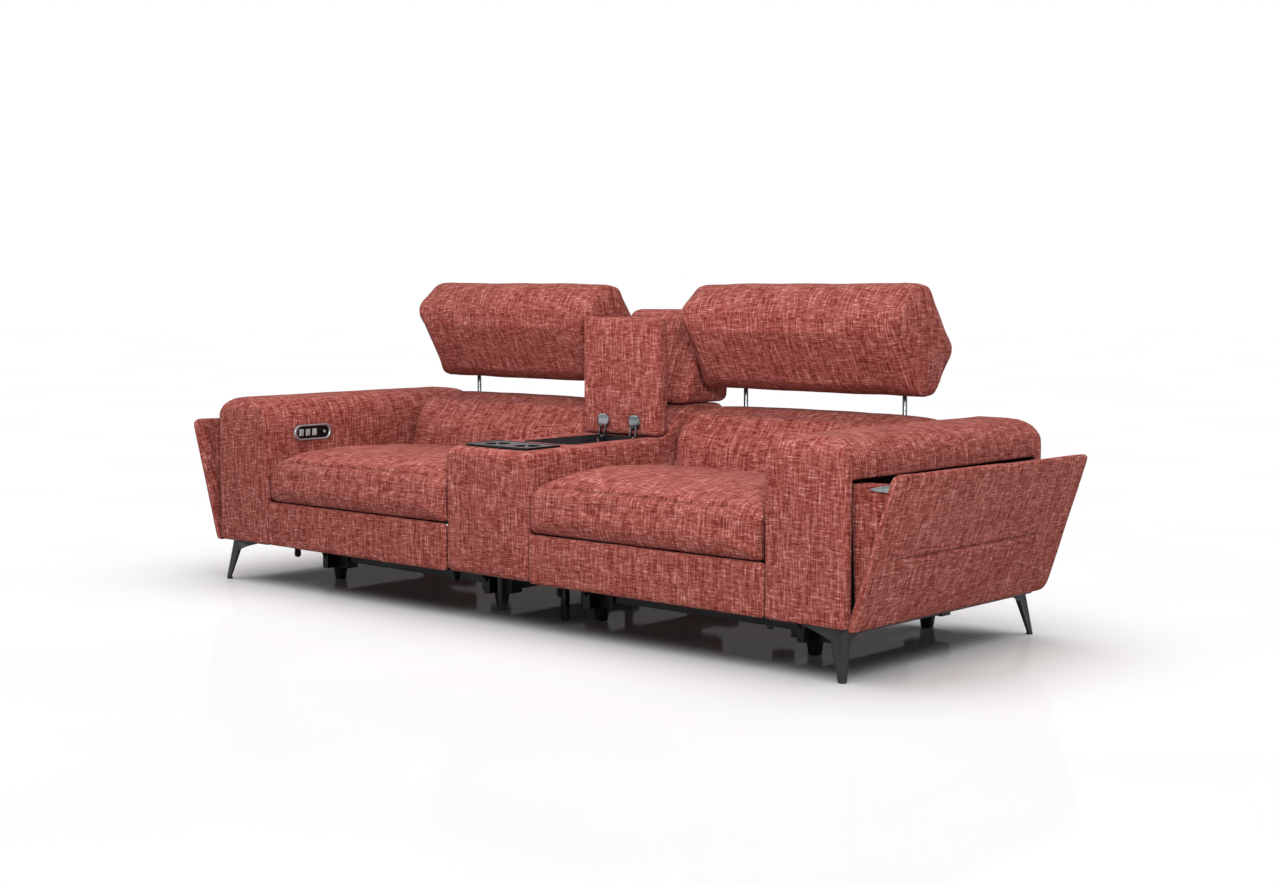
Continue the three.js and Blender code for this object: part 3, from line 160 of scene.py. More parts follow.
def makeTweed(name="woven tweed, slubby terracotta yarn"):
    sheen, sheenRoughness, sheenTint = tweed["sheen"]
    material, surface = newMaterial(name, tweed["roughness"], Specular_IOR_Level=tweed["specular"],
                                    Sheen_Weight=sheen, Sheen_Roughness=sheenRoughness,
                                    Sheen_Tint=linear(sheenTint))
    place = addNode(material, "ShaderNodeAttribute", attribute_name="cloth").outputs["Vector"]
    axes = addNode(material, "ShaderNodeSeparateXYZ", {"Vector": place}).outputs
    scale, width = tweed["wander"]
    wander = maths(material, "MULTIPLY", noiseOver(material, place, scale, 1.0), width)
    threads, cells, shades = [], [], []
    for axis in ("X", "Y"):
        thread = maths(material, "MULTIPLY_ADD", axes[axis], 1000 / tweed["threadSpacing"], wander)
        threads.append(thread)
        cells.append(maths(material, "FLOOR", thread))
    for cell, other, dash, seed in ((cells[0], "Y", "warpDash", 3.7), (cells[1], "X", "weftDash", 41.3)):
        along = maths(material, "MULTIPLY", axes[other], 1000 / tweed[dash])
        row = maths(material, "MULTIPLY", cell, tweed["rowStep"])
        spot = addNode(material, "ShaderNodeCombineXYZ", {"X": row, "Y": along, "Z": seed})
        shades.append(noiseOver(material, spot.outputs[0], 1.0, 3.0, 0.6))
    # of two crossing yarns the paler shows more, which draws the fine lattice of the cloth
    paler, deeper = maths(material, "MAXIMUM", *shades), maths(material, "MINIMUM", *shades)
    yarns = mixed(material, tweed["under"], paler, deeper)
    scale, strength = tweed["patch"]
    slubs = noiseOver(material, place, scale, 2.0, 0.7)
    colour = ramp(material, maths(material, "MULTIPLY_ADD", slubs, strength, yarns), [
        (0.43, tweed["deep"]), (0.52, tweed["dark"]), (0.59, tweed["base"]),
        (0.66, tweed["pale"]), (0.77, tweed["light"])])
    # painted shade: the cloth is darkened towards the seam colour where a vertex's painted shade is set, in
    # seams and on a shaded side
    paintedShade = addNode(material, "ShaderNodeAttribute", attribute_name="paintedShade").outputs["Fac"]
    deepness = maths(material, "MULTIPLY", paintedShade, tweed["seamShade"])
    seamed = addNode(material, "ShaderNodeMix", {"Factor": deepness, 6: colour, 7: linear(tweed["seam"])},
                     data_type="RGBA")
    link(material, seamed.outputs[2], surface.inputs["Base Color"])
    # a plain weave: warp and weft take turns on top
    over = maths(material, "FLOORED_MODULO", maths(material, "ADD", *cells), 2.0)
    ridges = []
    for thread in threads:
        turn = maths(material, "MULTIPLY", thread, 2 * math.pi)
        ridges.append(maths(material, "COSINE", turn))
    crossing = mixed(material, over, ridges[1], ridges[0])
    scale, depth = tweed["fuzz"]
    fuzz = noiseOver(material, place, scale, 3.0, 0.7)
    height = maths(material, "MULTIPLY_ADD", crossing, depth, fuzz)
    height = maths(material, "MULTIPLY_ADD", yarns, tweed["yarnHeight"], height)
    relief(material, surface, height, *tweed["relief"])
    return material


def makeGrained(name, colours, roughness, metallic, grain, bump, spread=0.08, **sockets):
    # a hard finish with fine unevenness: grain is the size of its texture in mm
    material, surface = newMaterial(name, roughness, metallic, **sockets)
    place = addNode(material, "ShaderNodeTexCoord").outputs["Object"]
    fine = noiseOver(material, place, 1000 / grain, 4.0, 0.6)
    both = mixed(material, 0.35, noiseOver(material, place, 18.0, 3.0), fine)
    colour = ramp(material, both, [(0.35, colours[0]), (0.65, colours[1])])
    link(material, colour, surface.inputs["Base Color"])
    shine = addNode(material, "ShaderNodeMapRange", {
        "Value": both, "From Min": 0.35, "From Max": 0.65,
        "To Min": max(roughness - spread, 0.02), "To Max": min(roughness + spread, 1.0)})
    link(material, shine.outputs[0], surface.inputs["Roughness"])
    if bump:
        relief(material, surface, fine, bump, 0.0003)
    return material


cloth = makeTweed()
# non-woven polypropylene lining: flat black with a faint pressed grain
lining = makeGrained("non-woven lining, pressed black", ("#0a0a0b", "#141415"), 0.85, 0.0, 2.2, 0.4)
# powder-coated steel legs: dark grey with a soft, slightly pebbled shine
legSteel = makeGrained("powder-coated steel, gunmetal", ("#232325", "#323235"), 0.38, 0.5, 0.9, 0.16)
# black e-coated steel of the mechanism: thin paint, a little uneven
blackSteel = makeGrained("e-coated steel, black", ("#0e0e10", "#1b1b1e"), 0.42, 0.35, 3.0, 0.1)
# polished chrome plating: mirror bright with faint wiping marks
chrome = makeGrained("chrome-plated steel, polished", ("#767b7e", "#a9aeb1"), 0.16, 1.0, 9.0, 0.01, 0.03)
# chrome-plated tube, wiped dull by the backrest: a grey streaked shine
postChrome = makeGrained("chrome-plated tube, fine satin", ("#5a5e60", "#7b8082"), 0.27, 1.0, 9.0, 0.0, 0.03)
# die-cast zinc with satin nickel plating: a soft grey sheen
satinNickel = makeGrained("die-cast zinc, satin nickel", ("#a7acad", "#c6cbca"), 0.36, 0.85, 1.2, 0.06)
# moulded ABS, high gloss: black, sharp reflections and a clear edge
glossBlack = makeGrained("moulded ABS, gloss black", ("#050606", "#0b0c0d"), 0.3, 0.0, 4.0, 0.03, 0.05,
                         Specular_IOR_Level=0.25)
# moulded ABS sprayed silver: pale, with a broad soft shine
silverKey = makeGrained("moulded ABS, sprayed silver", ("#8b8f90", "#b9bdbe"), 0.3, 0.35, 0.8, 0.05)
# moulded ABS sprayed metallic grey: a silky sheen, paler along its edges
satinTray = makeGrained("moulded ABS, sprayed satin grey", ("#54585a", "#666b6d"), 0.34, 0.3, 0.9, 0.08)
# moulded polypropylene with a spark-eroded grain, as glides and boxes have
grainBlack = makeGrained("moulded polypropylene, fine grain", ("#0c0c0d", "#1a1a1c"), 0.5, 0.0, 0.8, 0.22)

# Meshes
def newObject(name, vertices, faces, *materials):
    mesh = bpy.data.meshes.new(name)
    mesh.from_pydata([tuple(v) for v in vertices], [], [tuple(f) for f in faces])
    mesh.update()
    piece = bpy.data.objects.new(name, mesh)
    bpy.context.scene.collection.objects.link(piece)
    for material in materials:
        mesh.materials.append(material)
    return piece


def coordinates(mesh):
    found = np.empty(len(mesh.vertices) * 3)
    mesh.vertices.foreach_get("co", found)
    return found.reshape(-1, 3)


def setCoordinates(mesh, places):
    mesh.vertices.foreach_set("co", np.ascontiguousarray(places, dtype=np.float64).ravel())
    mesh.update()


def normals(mesh):
    found = np.empty(len(mesh.vertices) * 3)
    mesh.vertex_normals.foreach_get("vector", found)
    return found.reshape(-1, 3)


def applied(piece):
    graph = bpy.context.evaluated_depsgraph_get()
    mesh = bpy.data.meshes.new_from_object(piece.evaluated_get(graph))
    old = piece.data
    piece.modifiers.clear()
    piece.data = mesh
    bpy.data.meshes.remove(old)
    return piece


def edit(mesh, *changes):
    work = bmesh.new()
    work.from_mesh(mesh)
    for change in changes:
        change(work)
    work.to_mesh(mesh)
    work.free()


def faceOutwards(work):
    bmesh.ops.recalc_face_normals(work, faces=work.faces)


weldDistance = 2e-5  # metres, over which a solid's doubled corners are one


def copyNode(node, name):
    piece = bpy.data.objects.new(name, nodes[node].data.copy())
    bpy.context.scene.collection.objects.link(piece)
    piece.data.materials.clear()
    edit(piece.data, lambda work: bmesh.ops.remove_doubles(work, verts=work.verts, dist=weldDistance))
    return piece


def smoothShade(piece, angle=180):
    piece.data.shade_smooth()
    if angle < 180:
        piece.data.set_sharp_from_angle(angle=math.radians(angle))
    return piece


def loft(rings, closed=True):
    count = len(rings[0])
    vertices = [tuple(p) for ring in rings for p in ring]
    faces = []
    for r in range(len(rings) - 1):
        for i in range(count):
            j = (i + 1) % count
            faces.append((r * count + i, r * count + j, (r + 1) * count + j, (r + 1) * count + i))
    if closed:
        faces.append(tuple(reversed(range(count))))
        faces.append(tuple((len(rings) - 1) * count + i for i in range(count)))
    return vertices, faces


def joined(parts):
    vertices, faces = [], []
    for partVertices, partFaces in parts:
        start = len(vertices)
        vertices += partVertices
        faces += [tuple(start + i for i in f) for f in partFaces]
    return vertices, faces


def turned(profile, centre, axis, sides=32):
    # profile: (radius, distance along the axis), both in metres
    axis = Vector(axis).normalized()
    across = axis.orthogonal().normalized()
    third = axis.cross(across)
    rings = []
    for radius, far in profile:
        rings.append([Vector(centre) + axis * far + across * (radius * math.cos(2 * math.pi * i / sides))
                      + third * (radius * math.sin(2 * math.pi * i / sides)) for i in range(sides)])
    return loft(rings)


def mirrored(piece, name):
    copy = bpy.data.objects.new(name, piece.data.copy())
    bpy.context.scene.collection.objects.link(copy)
    copy.data.transform(Matrix.Scale(-1, 4, (1, 0, 0)))
    copy.data.flip_normals()
    return copy


def dress(piece, body, slot, *replaced):
    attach(piece, body)
    if replaced:
        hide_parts(*replaced)
    return piece


# Soft pieces: a dense skin over the solid, relaxed, and stuffed by a cloth simulation where it is a cushion
def skin(node, name, made, plugs=()):
    return dense(copyNode(node, name), made, plugs)


def wrap(work):
    found = bmesh.ops.convex_hull(work, input=work.verts)
    inside = {v for v in found["geom_interior"] + found["geom_unused"] if isinstance(v, bmesh.types.BMVert)}
    bmesh.ops.delete(work, geom=list(inside), context="VERTS")
    outer = {f for f in found["geom"] if isinstance(f, bmesh.types.BMFace)}
    bmesh.ops.delete(work, geom=[f for f in work.faces if f not in outer], context="FACES_ONLY")


def convex(piece):
    # closes every slot of a solid whose outer form has no hollows
    edit(piece.data, wrap, faceOutwards)
    return piece


def dense(piece, made, plugs=()):
    if plugs:
        extra = newObject("plug", *joined(plugs))
        edit(piece.data, lambda work: work.from_mesh(extra.data))
        bpy.data.objects.remove(extra)
    remesh = piece.modifiers.new("skin", "REMESH")
    remesh.mode = "VOXEL"
    remesh.voxel_size = made["voxel"]
    smoother = piece.modifiers.new("relax", "SMOOTH")
    smoother.factor = 0.5
    smoother.iterations = made["relax"]
    return applied(piece)


# the cover's cloth, the same on every cushion
coverCloth = {
    "quality": 4, "mass": 0.35, "tension_stiffness": 18, "compression_stiffness": 18,
    "shear_stiffness": 6, "bending_stiffness": 0.4, "use_pressure": True,
}


def inflate(piece, made, pinned):
    # stuffs a piece that starts a little slack; no point moves further than the cap
    mesh = piece.data
    start = coordinates(mesh)
    setCoordinates(mesh, start - normals(mesh) * (made["slack"] * ~pinned)[:, None])
    group = piece.vertex_groups.new(name="held")
    group.add([int(i) for i in np.nonzero(pinned)[0]], 1.0, "REPLACE")
    stuffing = piece.modifiers.new("stuffing", "CLOTH")
    settings = stuffing.settings
    for name, value in coverCloth.items():
        setattr(settings, name, value)
    settings.uniform_pressure_force = made["pressure"]
    settings.vertex_group_mass = "held"
    settings.effector_weights.gravity = 0
    stuffing.point_cache.frame_start = 1
    stuffing.point_cache.frame_end = made["frames"]
    scene = bpy.context.scene
    for step in range(1, made["frames"] + 1):
        scene.frame_set(step)
    applied(piece)
    scene.frame_set(1)
    mesh = piece.data
    move = coordinates(mesh) - start
    far = np.linalg.norm(move, axis=1, keepdims=True)
    setCoordinates(mesh, start + move * np.minimum(1, made["cap"] / np.maximum(far, 1e-9)))
    piece.vertex_groups.clear()


def refine(piece):
    finer = piece.modifiers.new("finer", "SUBSURF")
    finer.levels = 1
    finer.render_levels = 1
    return applied(piece)


def ripple(piece, made):
    # slow unevenness of padding under cloth: depth and length in metres, and a seed
    depth, length, seed = made["ripple"]
    mesh = piece.data
    places = coordinates(mesh)
    directions = normals(mesh)
    shift = Vector((seed * 3.1, seed * 1.7, seed * 5.3))
    amount = np.array([noise.noise(Vector(p) / length + shift) for p in places])
    setCoordinates(mesh, places + directions * (amount * depth)[:, None])


def fill(piece, low, high):
    # smoothing draws a pad in a little, so it is stretched back to its full room
    mesh = piece.data
    places = coordinates(mesh)
    first, last = places.min(0), places.max(0)
    low, high = np.array(low), np.array(high)
    setCoordinates(mesh, low + (places - first) * (high - low) / (last - first))


def groove(piece, made, distance, mask=None):
    # distance: metres from the seam line, by vertex
    mesh = piece.data
    places = coordinates(mesh)
    near = np.exp(-(distance(places) / made["seamWidth"]) ** 2)
    if mask is not None:
        near = near * mask(places)
    setCoordinates(mesh, places - normals(mesh) * (near * made["seamDepth"])[:, None])
    # painted shade along the groove, darkest at the seam line
    shade(piece, near ** 2 * 0.5)


def shade(piece, amount):
    # painted shade: how much a vertex's cloth colour is darkened for the shade in a fold or seam
    mesh = piece.data
    layer = mesh.attributes.get("paintedShade") or mesh.attributes.new("paintedShade", "FLOAT", "POINT")
    before = np.empty(len(mesh.vertices), dtype=np.float32)
    layer.data.foreach_get("value", before)
    layer.data.foreach_set("value", np.maximum(before, amount).astype(np.float32))


def hull(points):
    points = sorted(set(map(tuple, np.round(points, 5))))
    chains = []
    for ordered in (points, points[::-1]):
        chain = []
        for p in ordered:
            while len(chain) > 1 and ((chain[-1][0] - chain[-2][0]) * (p[1] - chain[-2][1])
                                      - (chain[-1][1] - chain[-2][1]) * (p[0] - chain[-2][0])) <= 0:
                chain.pop()
            chain.append(p)
        chains += chain[:-1]
    return np.array(chains)


def polygonData(mesh):
    count = len(mesh.polygons)
    facing, centres = np.empty(count * 3), np.empty(count * 3)
    mesh.polygons.foreach_get("normal", facing)
    mesh.polygons.foreach_get("center", centres)
    return facing.reshape(-1, 3), centres.reshape(-1, 3)


def startsOf(lengths):
    return np.concatenate([[0], np.cumsum(lengths)[:-1]])


def measureRound(outline, points):
    # how far round a closed outline the spot nearest to each point lies, and the outline's whole length
    steps = np.roll(outline, -1, axis=0) - outline
    lengths = np.linalg.norm(steps, axis=1)
    best = np.full(len(points), np.inf)
    arc = np.zeros(len(points))
    for start, step, length, before in zip(outline, steps, lengths, startsOf(lengths)):
        share = np.clip(((points - start) @ step) / length ** 2, 0, 1)
        near = np.linalg.norm(points - start - share[:, None] * step, axis=1)
        closer = near < best
        best[closer] = near[closer]
        arc[closer] = before + share[closer] * length
    return arc, lengths.sum()


endFacing = 0.74  # a face that looks along the sweep by more than this is part of an end
endPlace = (3, 2)  # metres, where in the bolt of cloth the ends are cut
level = 0.8  # a face that looks up or down by more than this is level


def layCloth(piece, sweep="x"):
    # gives each face corner its place in the flat cloth, in metres: along the sweep and round the section;
    # the ends of the sweep are their own flat pieces of cloth, as they are sewn
    mesh = piece.data
    places = coordinates(mesh)
    own, a, b = (0, 1, 2) if sweep == "x" else (1, 0, 2)
    section = places[:, (a, b)]
    arc, total = measureRound(hull(section), section)
    corner = np.empty(len(mesh.loops), dtype=np.int64)
    mesh.loops.foreach_get("vertex_index", corner)
    sides = np.empty(len(mesh.polygons), dtype=np.int64)
    mesh.polygons.foreach_get("loop_total", sides)
    facing, _ = polygonData(mesh)
    isEnd = np.repeat(np.abs(facing[:, own]) > endFacing, sides)
    # a face across the seam of the section takes the side of its first corner
    first = np.repeat(corner[startsOf(sides)], sides)
    around = arc[corner]
    around = around - total * np.round((around - arc[first]) / total)
    flat = np.zeros((len(corner), 3))
    flat[:, 0] = np.where(isEnd, places[corner, a] + endPlace[0], places[corner, own])
    flat[:, 1] = np.where(isEnd, places[corner, b] + endPlace[1], around)
    layer = mesh.attributes.new("cloth", "FLOAT_VECTOR", "CORNER")
    layer.data.foreach_set("vector", flat.ravel())


def lineUnder(piece, height):
    # the faces that look down at the bottom of a piece are covered with black lining
    mesh = piece.data
    mesh.materials.append(lining)
    facing, centres = polygonData(mesh)
    index = np.empty(len(mesh.polygons), dtype=np.int32)
    mesh.polygons.foreach_get("material_index", index)
    under = (facing[:, 2] < -level) & (centres[:, 2] < height)
    index[under] = len(mesh.materials) - 1
    mesh.polygons.foreach_set("material_index", index)


def cut(piece, parts):
    cutter = newObject("cutter", *joined(parts))
    edit(cutter.data, faceOutwards)
    opening = piece.modifiers.new("opening", "BOOLEAN")
    opening.operation = "DIFFERENCE"
    opening.solver = "EXACT"
    opening.object = cutter
    applied(piece)
    bpy.data.objects.remove(cutter)


def rise(value, start, end):
    # 0 at start, 1 at end, and even between
    return np.clip((value - start) / (end - start), 0, 1)


def smooth(share):
    return share * share * (3 - 2 * share)


def within(value, inner, outer, fade):
    # near 1 between inner and outer, and fading to 0 past them
    return 1 / (1 + np.exp(-np.minimum(value - inner, outer - value) / fade))


def bothSides(piece):
    return ("right", piece), ("left", mirrored(piece, piece.name.replace("right", "left")))


def finish(pad, body, node, made):
    smoothShade(pad, made.get("sharp", 180))
    dress(pad, body, "upholstery", node)


def upholster(piece, body, node, made):
    # finishes a pad made for the right, and its mirror image for the left
    for side, pad in bothSides(piece):
        finish(pad, body.replace("right", side), node.replace("right", side), made)


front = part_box("arm_right")[0].y  # the arms' front faces
print("materials and helpers ready")

# Seat cushions: foam in a boxed cover, crowned, with a pinched seam across the nose
seatCushion = {
    "voxel": 0.009, "relax": 8, "pressure": 3.2, "frames": 16, "cap": 0.012, "slack": 0.005,
    "ripple": (0.0016, 0.16, 2), "fullness": 0.8,
    "baseHeld": 0.012, "frontFree": 0.022, "backHeld": 0.008,
    "sideGap": 0.001, "baseGap": 0.0005, "proud": 0.002,
    "sideHeight": 0.06, "consoleCrown": 0.011, "crown": 0.004, "crownFrom": 0.32, "crownTo": 0.57,
    "crownLoss": 0.7, "square": 0.016, "squareNose": 0.16, "squareSide": 0.13, "squareRise": 0.004,
    "noseProud": 0.003, "noseTaper": 0.013, "noseFrom": 0.43, "noseTo": 0.36, "noseDeep": 0.13,
    "noseWide": 0.09, "seamBack": 0.021, "seamInset": 0.045, "seamDepth": 0.006, "seamWidth": 0.0042,
    "seamFade": 0.012, "seamAbove": 0.08, "shadeWide": 0.006, "shade": 0.9,
}


def makeSeats():
    seat = seatCushion
    node = "seat_cushion_right"
    low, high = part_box(node)
    piece = skin(node, "seat_pad_right", seat)
    places = coordinates(piece.data)
    held = (places[:, 2] < low.z + seat["baseHeld"]) & (places[:, 1] > low.y + seat["frontFree"])
    held |= places[:, 1] > high.y - seat["backHeld"]
    inflate(piece, seat, held)
    refine(piece)
    ripple(piece, seat)
    fill(piece, (low.x + seat["sideGap"], low.y - seat["proud"], low.z - seat["baseGap"]),
         (high.x - seat["sideGap"], high.y, high.z + seat["proud"]))
    # fuller towards the console, where the filling is packed highest
    places = coordinates(piece.data)
    up = rise(places[:, 2], low.z + seat["sideHeight"], high.z)
    across = rise(places[:, 0], low.x, high.x)
    away = 1 - seat["crownLoss"] * rise(places[:, 1], low.y + seat["crownFrom"], low.y + seat["crownTo"])
    places[:, 2] += up * away * (seat["consoleCrown"] * (1 - across) ** 1.5 + seat["crown"])
    # boxed foam: the front edge and the one at the console stay squarer than the round cover
    down = high.z + seat["squareRise"] - places[:, 2]
    nose = rise(places[:, 1] - low.y + down, seat["squareNose"], 0)
    corner = rise(places[:, 0] - low.x + down, seat["squareSide"], 0)
    places[:, 2] += seat["square"] * np.maximum(nose, corner) * up
    places[:, 1] = np.maximum(places[:, 1] - 0.5 * seat["square"] * nose, low.y - seat["noseProud"])
    # the nose draws in beside the arm, below its top corner
    drop = rise(places[:, 2], seat["noseFrom"], seat["noseTo"])
    ahead = rise(places[:, 1], low.y + seat["noseDeep"], low.y)
    aside = rise(places[:, 0], high.x - seat["noseWide"], high.x) ** 2
    places[:, 0] -= seat["noseTaper"] * smooth(drop) * ahead * aside
    setCoordinates(piece.data, places)
    seamY = low.y + seat["seamBack"]
    inner, outer = low.x + seat["seamInset"], high.x - seat["seamInset"]

    def fromSeam(p):
        return np.where(p[:, 2] > low.z + seat["seamAbove"], np.abs(p[:, 1] - seamY), 1)

    def sewn(p):
        return within(p[:, 0], inner, outer, seat["seamFade"])

    groove(piece, seat, fromSeam, sewn)
    # painted shade on the side of the nose beside the arm, where little light reaches
    edge = high.x - seat["noseTaper"]
    beside = rise(coordinates(piece.data)[:, 0], edge - seat["shadeWide"], edge)
    shade(piece, beside * np.clip(drop * 3, 0, 1) * seat["shade"])
    layCloth(piece)
    piece.data.materials.append(cloth)
    upholster(piece, "frame", node, seat)


makeSeats()
print("seat cushions made")

# Backrests: fibre-filled front with a soft bulge, boxed sides
post = {"radius": 0.007, "endRadius": 0.0055, "lowerEase": 0.0015, "upperEase": 0.002, "barRadius": 0.006}
backrest = {
    "voxel": 0.009, "relax": 8, "pressure": 2.6, "frames": 14, "cap": 0.010, "slack": 0.004,
    "ripple": (0.0018, 0.15, 5), "fullness": 0.75, "baseHeld": 0.14, "backHeld": 0.012,
    "swell": 0.017, "swellFrom": 0.452, "swellOver": 0.085, "swellDepth": 0.625,
    "swellEnd": 0.02, "swellFade": 0.16,
    "boreRadius": 0.0078, "boreFrom": 0.17, "boreThrough": 0.02, "plugRadius": 0.012, "plugDown": 0.004,
}


def postPlaces():
    low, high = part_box("headrest_yoke_right")
    inner, outer = low.x + post["radius"], high.x - post["radius"]
    return (inner, outer), (low.y + high.y) / 2, low.z, high.z


def makeBacks():
    back = backrest
    node = "backrest_right"
    low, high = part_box(node)
    posts, postY, _, _ = postPlaces()
    # the bores are filled before the cover is made, and cut again after it
    plug, bore = back["plugRadius"], back["boreRadius"]
    plugs = [turned([(plug, low.z + back["baseHeld"]), (plug, high.z - back["plugDown"])],
                    (x, postY, 0), (0, 0, 1), 12) for x in posts]
    piece = skin(node, "back_pad_right", back, plugs)
    places = coordinates(piece.data)
    held = (places[:, 2] < low.z + back["baseHeld"]) | (places[:, 1] > high.y - back["backHeld"])
    inflate(piece, back, held)
    refine(piece)
    ripple(piece, back)
    fill(piece, low, high)
    # the front swells forward a little, from just above the seat
    places = coordinates(piece.data)
    forward = rise(places[:, 1], low.y + (high.y - low.y) * back["swellDepth"], low.y)
    above = rise(places[:, 2], back["swellFrom"], back["swellFrom"] + back["swellOver"])
    end = high.z + back["swellEnd"]
    below = rise(places[:, 2], end, end - back["swellFade"])
    places[:, 1] -= back["swell"] * forward * smooth(above) * below
    setCoordinates(piece.data, places)
    cut(piece, [turned([(bore, low.z + back["boreFrom"]), (bore, high.z + back["boreThrough"])],
                       (x, postY, 0), (0, 0, 1), 24) for x in posts])
    layCloth(piece)
    piece.data.materials.append(cloth)
    upholster(piece, "back_right", node, back)


makeBacks()
print("backrests made")

# Headrests: a six-sided roll with sewn-in end caps, raised on chrome posts
headrest = {
    "voxel": 0.007, "relax": 6, "pressure": 2.4, "frames": 14, "cap": 0.007, "slack": 0.002,
    "ripple": (0.0022, 0.13, 9), "fullness": 0.85, "heldDeep": 0.03,
    "seamFromEnd": 0.021, "seamDepth": 0.0016, "seamWidth": 0.005,
    "under": (0.004, 0.002, 0.004), "over": (0.010, 0.002, 0.003),
    "hang": 0.007, "hangLength": 0.45, "hangFrom": 0.15,
    "room": 0.0088, "barRoom": 0.0068, "slotDepth": 0.1, "tilt": 25,
}


def makeHeadrests():
    head = headrest
    node = "headrest_right"
    low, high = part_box(node)
    posts, postY, _, barTop = postPlaces()
    barZ = barTop - post["barRadius"]
    room, bar = head["room"], head["barRoom"]
    piece = dense(convex(copyNode(node, "headrest_pad_right")), head)
    places = coordinates(piece.data)
    held = (np.abs(places[:, 1] - postY) < head["heldDeep"]) & (places[:, 2] < barZ)
    inflate(piece, head, held)
    refine(piece)
    ripple(piece, head)

    def fromSeam(p):
        near = np.minimum(p[:, 0] - low.x, high.x - p[:, 0])
        return np.abs(near - head["seamFromEnd"])

    groove(piece, head, fromSeam)
    fill(piece, low - Vector(head["under"]), high + Vector(head["over"]))
    # the inner end of the roll hangs a little
    places = coordinates(piece.data)
    inward = rise(places[:, 0], low.x + head["hangLength"], low.x)
    upward = rise(places[:, 2], low.z + head["hangFrom"], low.z + 2 * head["hangFrom"])
    places[:, 2] -= head["hang"] * inward ** 2 * upward
    setCoordinates(piece.data, places)
    # slots below the bar, wide enough for the posts from upright to tilted
    forward = math.radians(head["tilt"])
    deep = -head["slotDepth"]
    outline = []
    for y, z, tilted in ((room, room, True), (room, room, False), (-room, room, True), (-room, room, False),
                         (-room, deep, True), (room, deep, False)):
        if tilted:
            y, z = (y * math.cos(forward) + z * math.sin(forward),
                    z * math.cos(forward) - y * math.sin(forward))
        outline.append((postY + y, barZ + z))
    cutters = [loft([[(x + s * room, y, z) for y, z in outline] for s in (-1, 1)]) for x in posts]
    cutters.append(turned([(bar, posts[0]), (bar, posts[1])], (0, postY, barZ), (1, 0, 0), 20))
    for cutter in cutters:
        cut(piece, [cutter])
    layCloth(piece)
    piece.data.materials.append(cloth)
    upholster(piece, "headrest_pad_right", node, head)


makeHeadrests()
print("headrests made")

# Footrest fronts: a thin padded board under each seat
footrestPad = {"voxel": 0.006, "relax": 6, "ripple": (0.0009, 0.11, 12), "fullness": 0.9, "endGap": 0.0012}
liningHeight = 0.01  # the lining under a piece reaches this far up from its lowest point


def makeFootrests():
    for side in signs:
        node = "footrest_board_" + side
        low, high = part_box(node)
        piece = skin(node, "footrest_pad_" + side, footrestPad)
        refine(piece)
        ripple(piece, footrestPad)
        gap = Vector((footrestPad["endGap"], 0, 0))
        fill(piece, low + gap, high - gap)
        layCloth(piece)
        piece.data.materials.append(cloth)
        lineUnder(piece, low.z + liningHeight)
        finish(piece, "footrest_front_" + side, node, footrestPad)


makeFootrests()
print("footrest fronts made")

# Arms: padded boxes with a black-lined hollow for the pocket
armPad = {
    "voxel": 0.005, "relax": 3, "ripple": (0.0012, 0.17, 15), "fullness": 0.95, "sharp": 70, "proud": 0.001,
    "wall": 0.030, "hollowBottom": 0.1425, "hollowTop": 0.511, "hollowDeep": 0.1435, "rim": 0.007,
    "edge": 0.0035,  # half of a face more, so that the hollow's own corners are lined
}


def makeArms():
    node = "arm_right"
    low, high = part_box(node)
    piece = skin(node, "arm_pad_right", armPad)
    ripple(piece, armPad)
    proud = armPad["proud"]
    fill(piece, low - Vector((0, proud, 0)), high + Vector((0, proud, proud)))
    layCloth(piece, "y")
    piece.data.materials.append(cloth)
    piece.data.materials.append(lining)
    _, centres = polygonData(piece.data)
    wall = armPad["wall"] - armPad["edge"]
    hollow = (centres[:, 0] > high.x - armPad["hollowDeep"]) & (centres[:, 0] < high.x - armPad["rim"])
    hollow &= (centres[:, 1] > low.y + wall) & (centres[:, 1] < high.y - wall)
    top = armPad["hollowTop"] + armPad["edge"]
    hollow &= (centres[:, 2] > armPad["hollowBottom"]) & (centres[:, 2] < top)
    piece.data.polygons.foreach_set("material_index", hollow.astype(np.int32))
    lineUnder(piece, low.z + liningHeight)
    upholster(piece, "frame", node, armPad)


makeArms()
print("arms made")

# Pockets: an upholstered board on a long hinge, and a fabric gusset at each end that moves with the board
pocket = {
    "voxel": 0.005, "relax": 2, "ripple": (0.0012, 0.14, 31), "fullness": 0.95, "sharp": 75,
    "lean": 18.3, "hingeOut": 0.004, "hingeZ": 0.129, "inner": -0.0023,
    # mm from the inner face, and how far the rim is drawn in there
    "profile": ((0, 4), (1.5, 1), (3.3, 0), (10.8, 0), (13, 1), (15, 3), (16, 7), (17, 20)),
    "leafTop": 0.013, "leafFade": 0.004, "leafRoom": 0.002,
    "seamUp": 0.195, "seamFrom": 0.115, "seamTo": 0.85, "seamDepth": 0.0055, "seamWidth": 0.0042,
    "seamFade": 0.016, "seamOutside": 0.006,
}
gusset = {
    "columns": 36, "rows": 60, "place": 0.0345, "bottom": 0.024, "innerTop": 0.502, "outerTop": 0.510,
    "topFrom": 0.45, "thickness": 0.004, "keep": 0.935, "innerGap": 0.002, "innerLean": 0.018,
    "outerGap": 0.003, "bulge": 0.007, "bulgeShare": 0.6, "fold": 0.0012, "folds": 5, "foldTurn": 6,
    "sharp": 60,
}


def pocketFrame():
    hinge = Vector((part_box("arm_right")[1].x + pocket["hingeOut"], 0, pocket["hingeZ"]))
    return hinge, Matrix.Translation(hinge) @ Matrix.Rotation(math.radians(pocket["lean"]), 4, "Y")


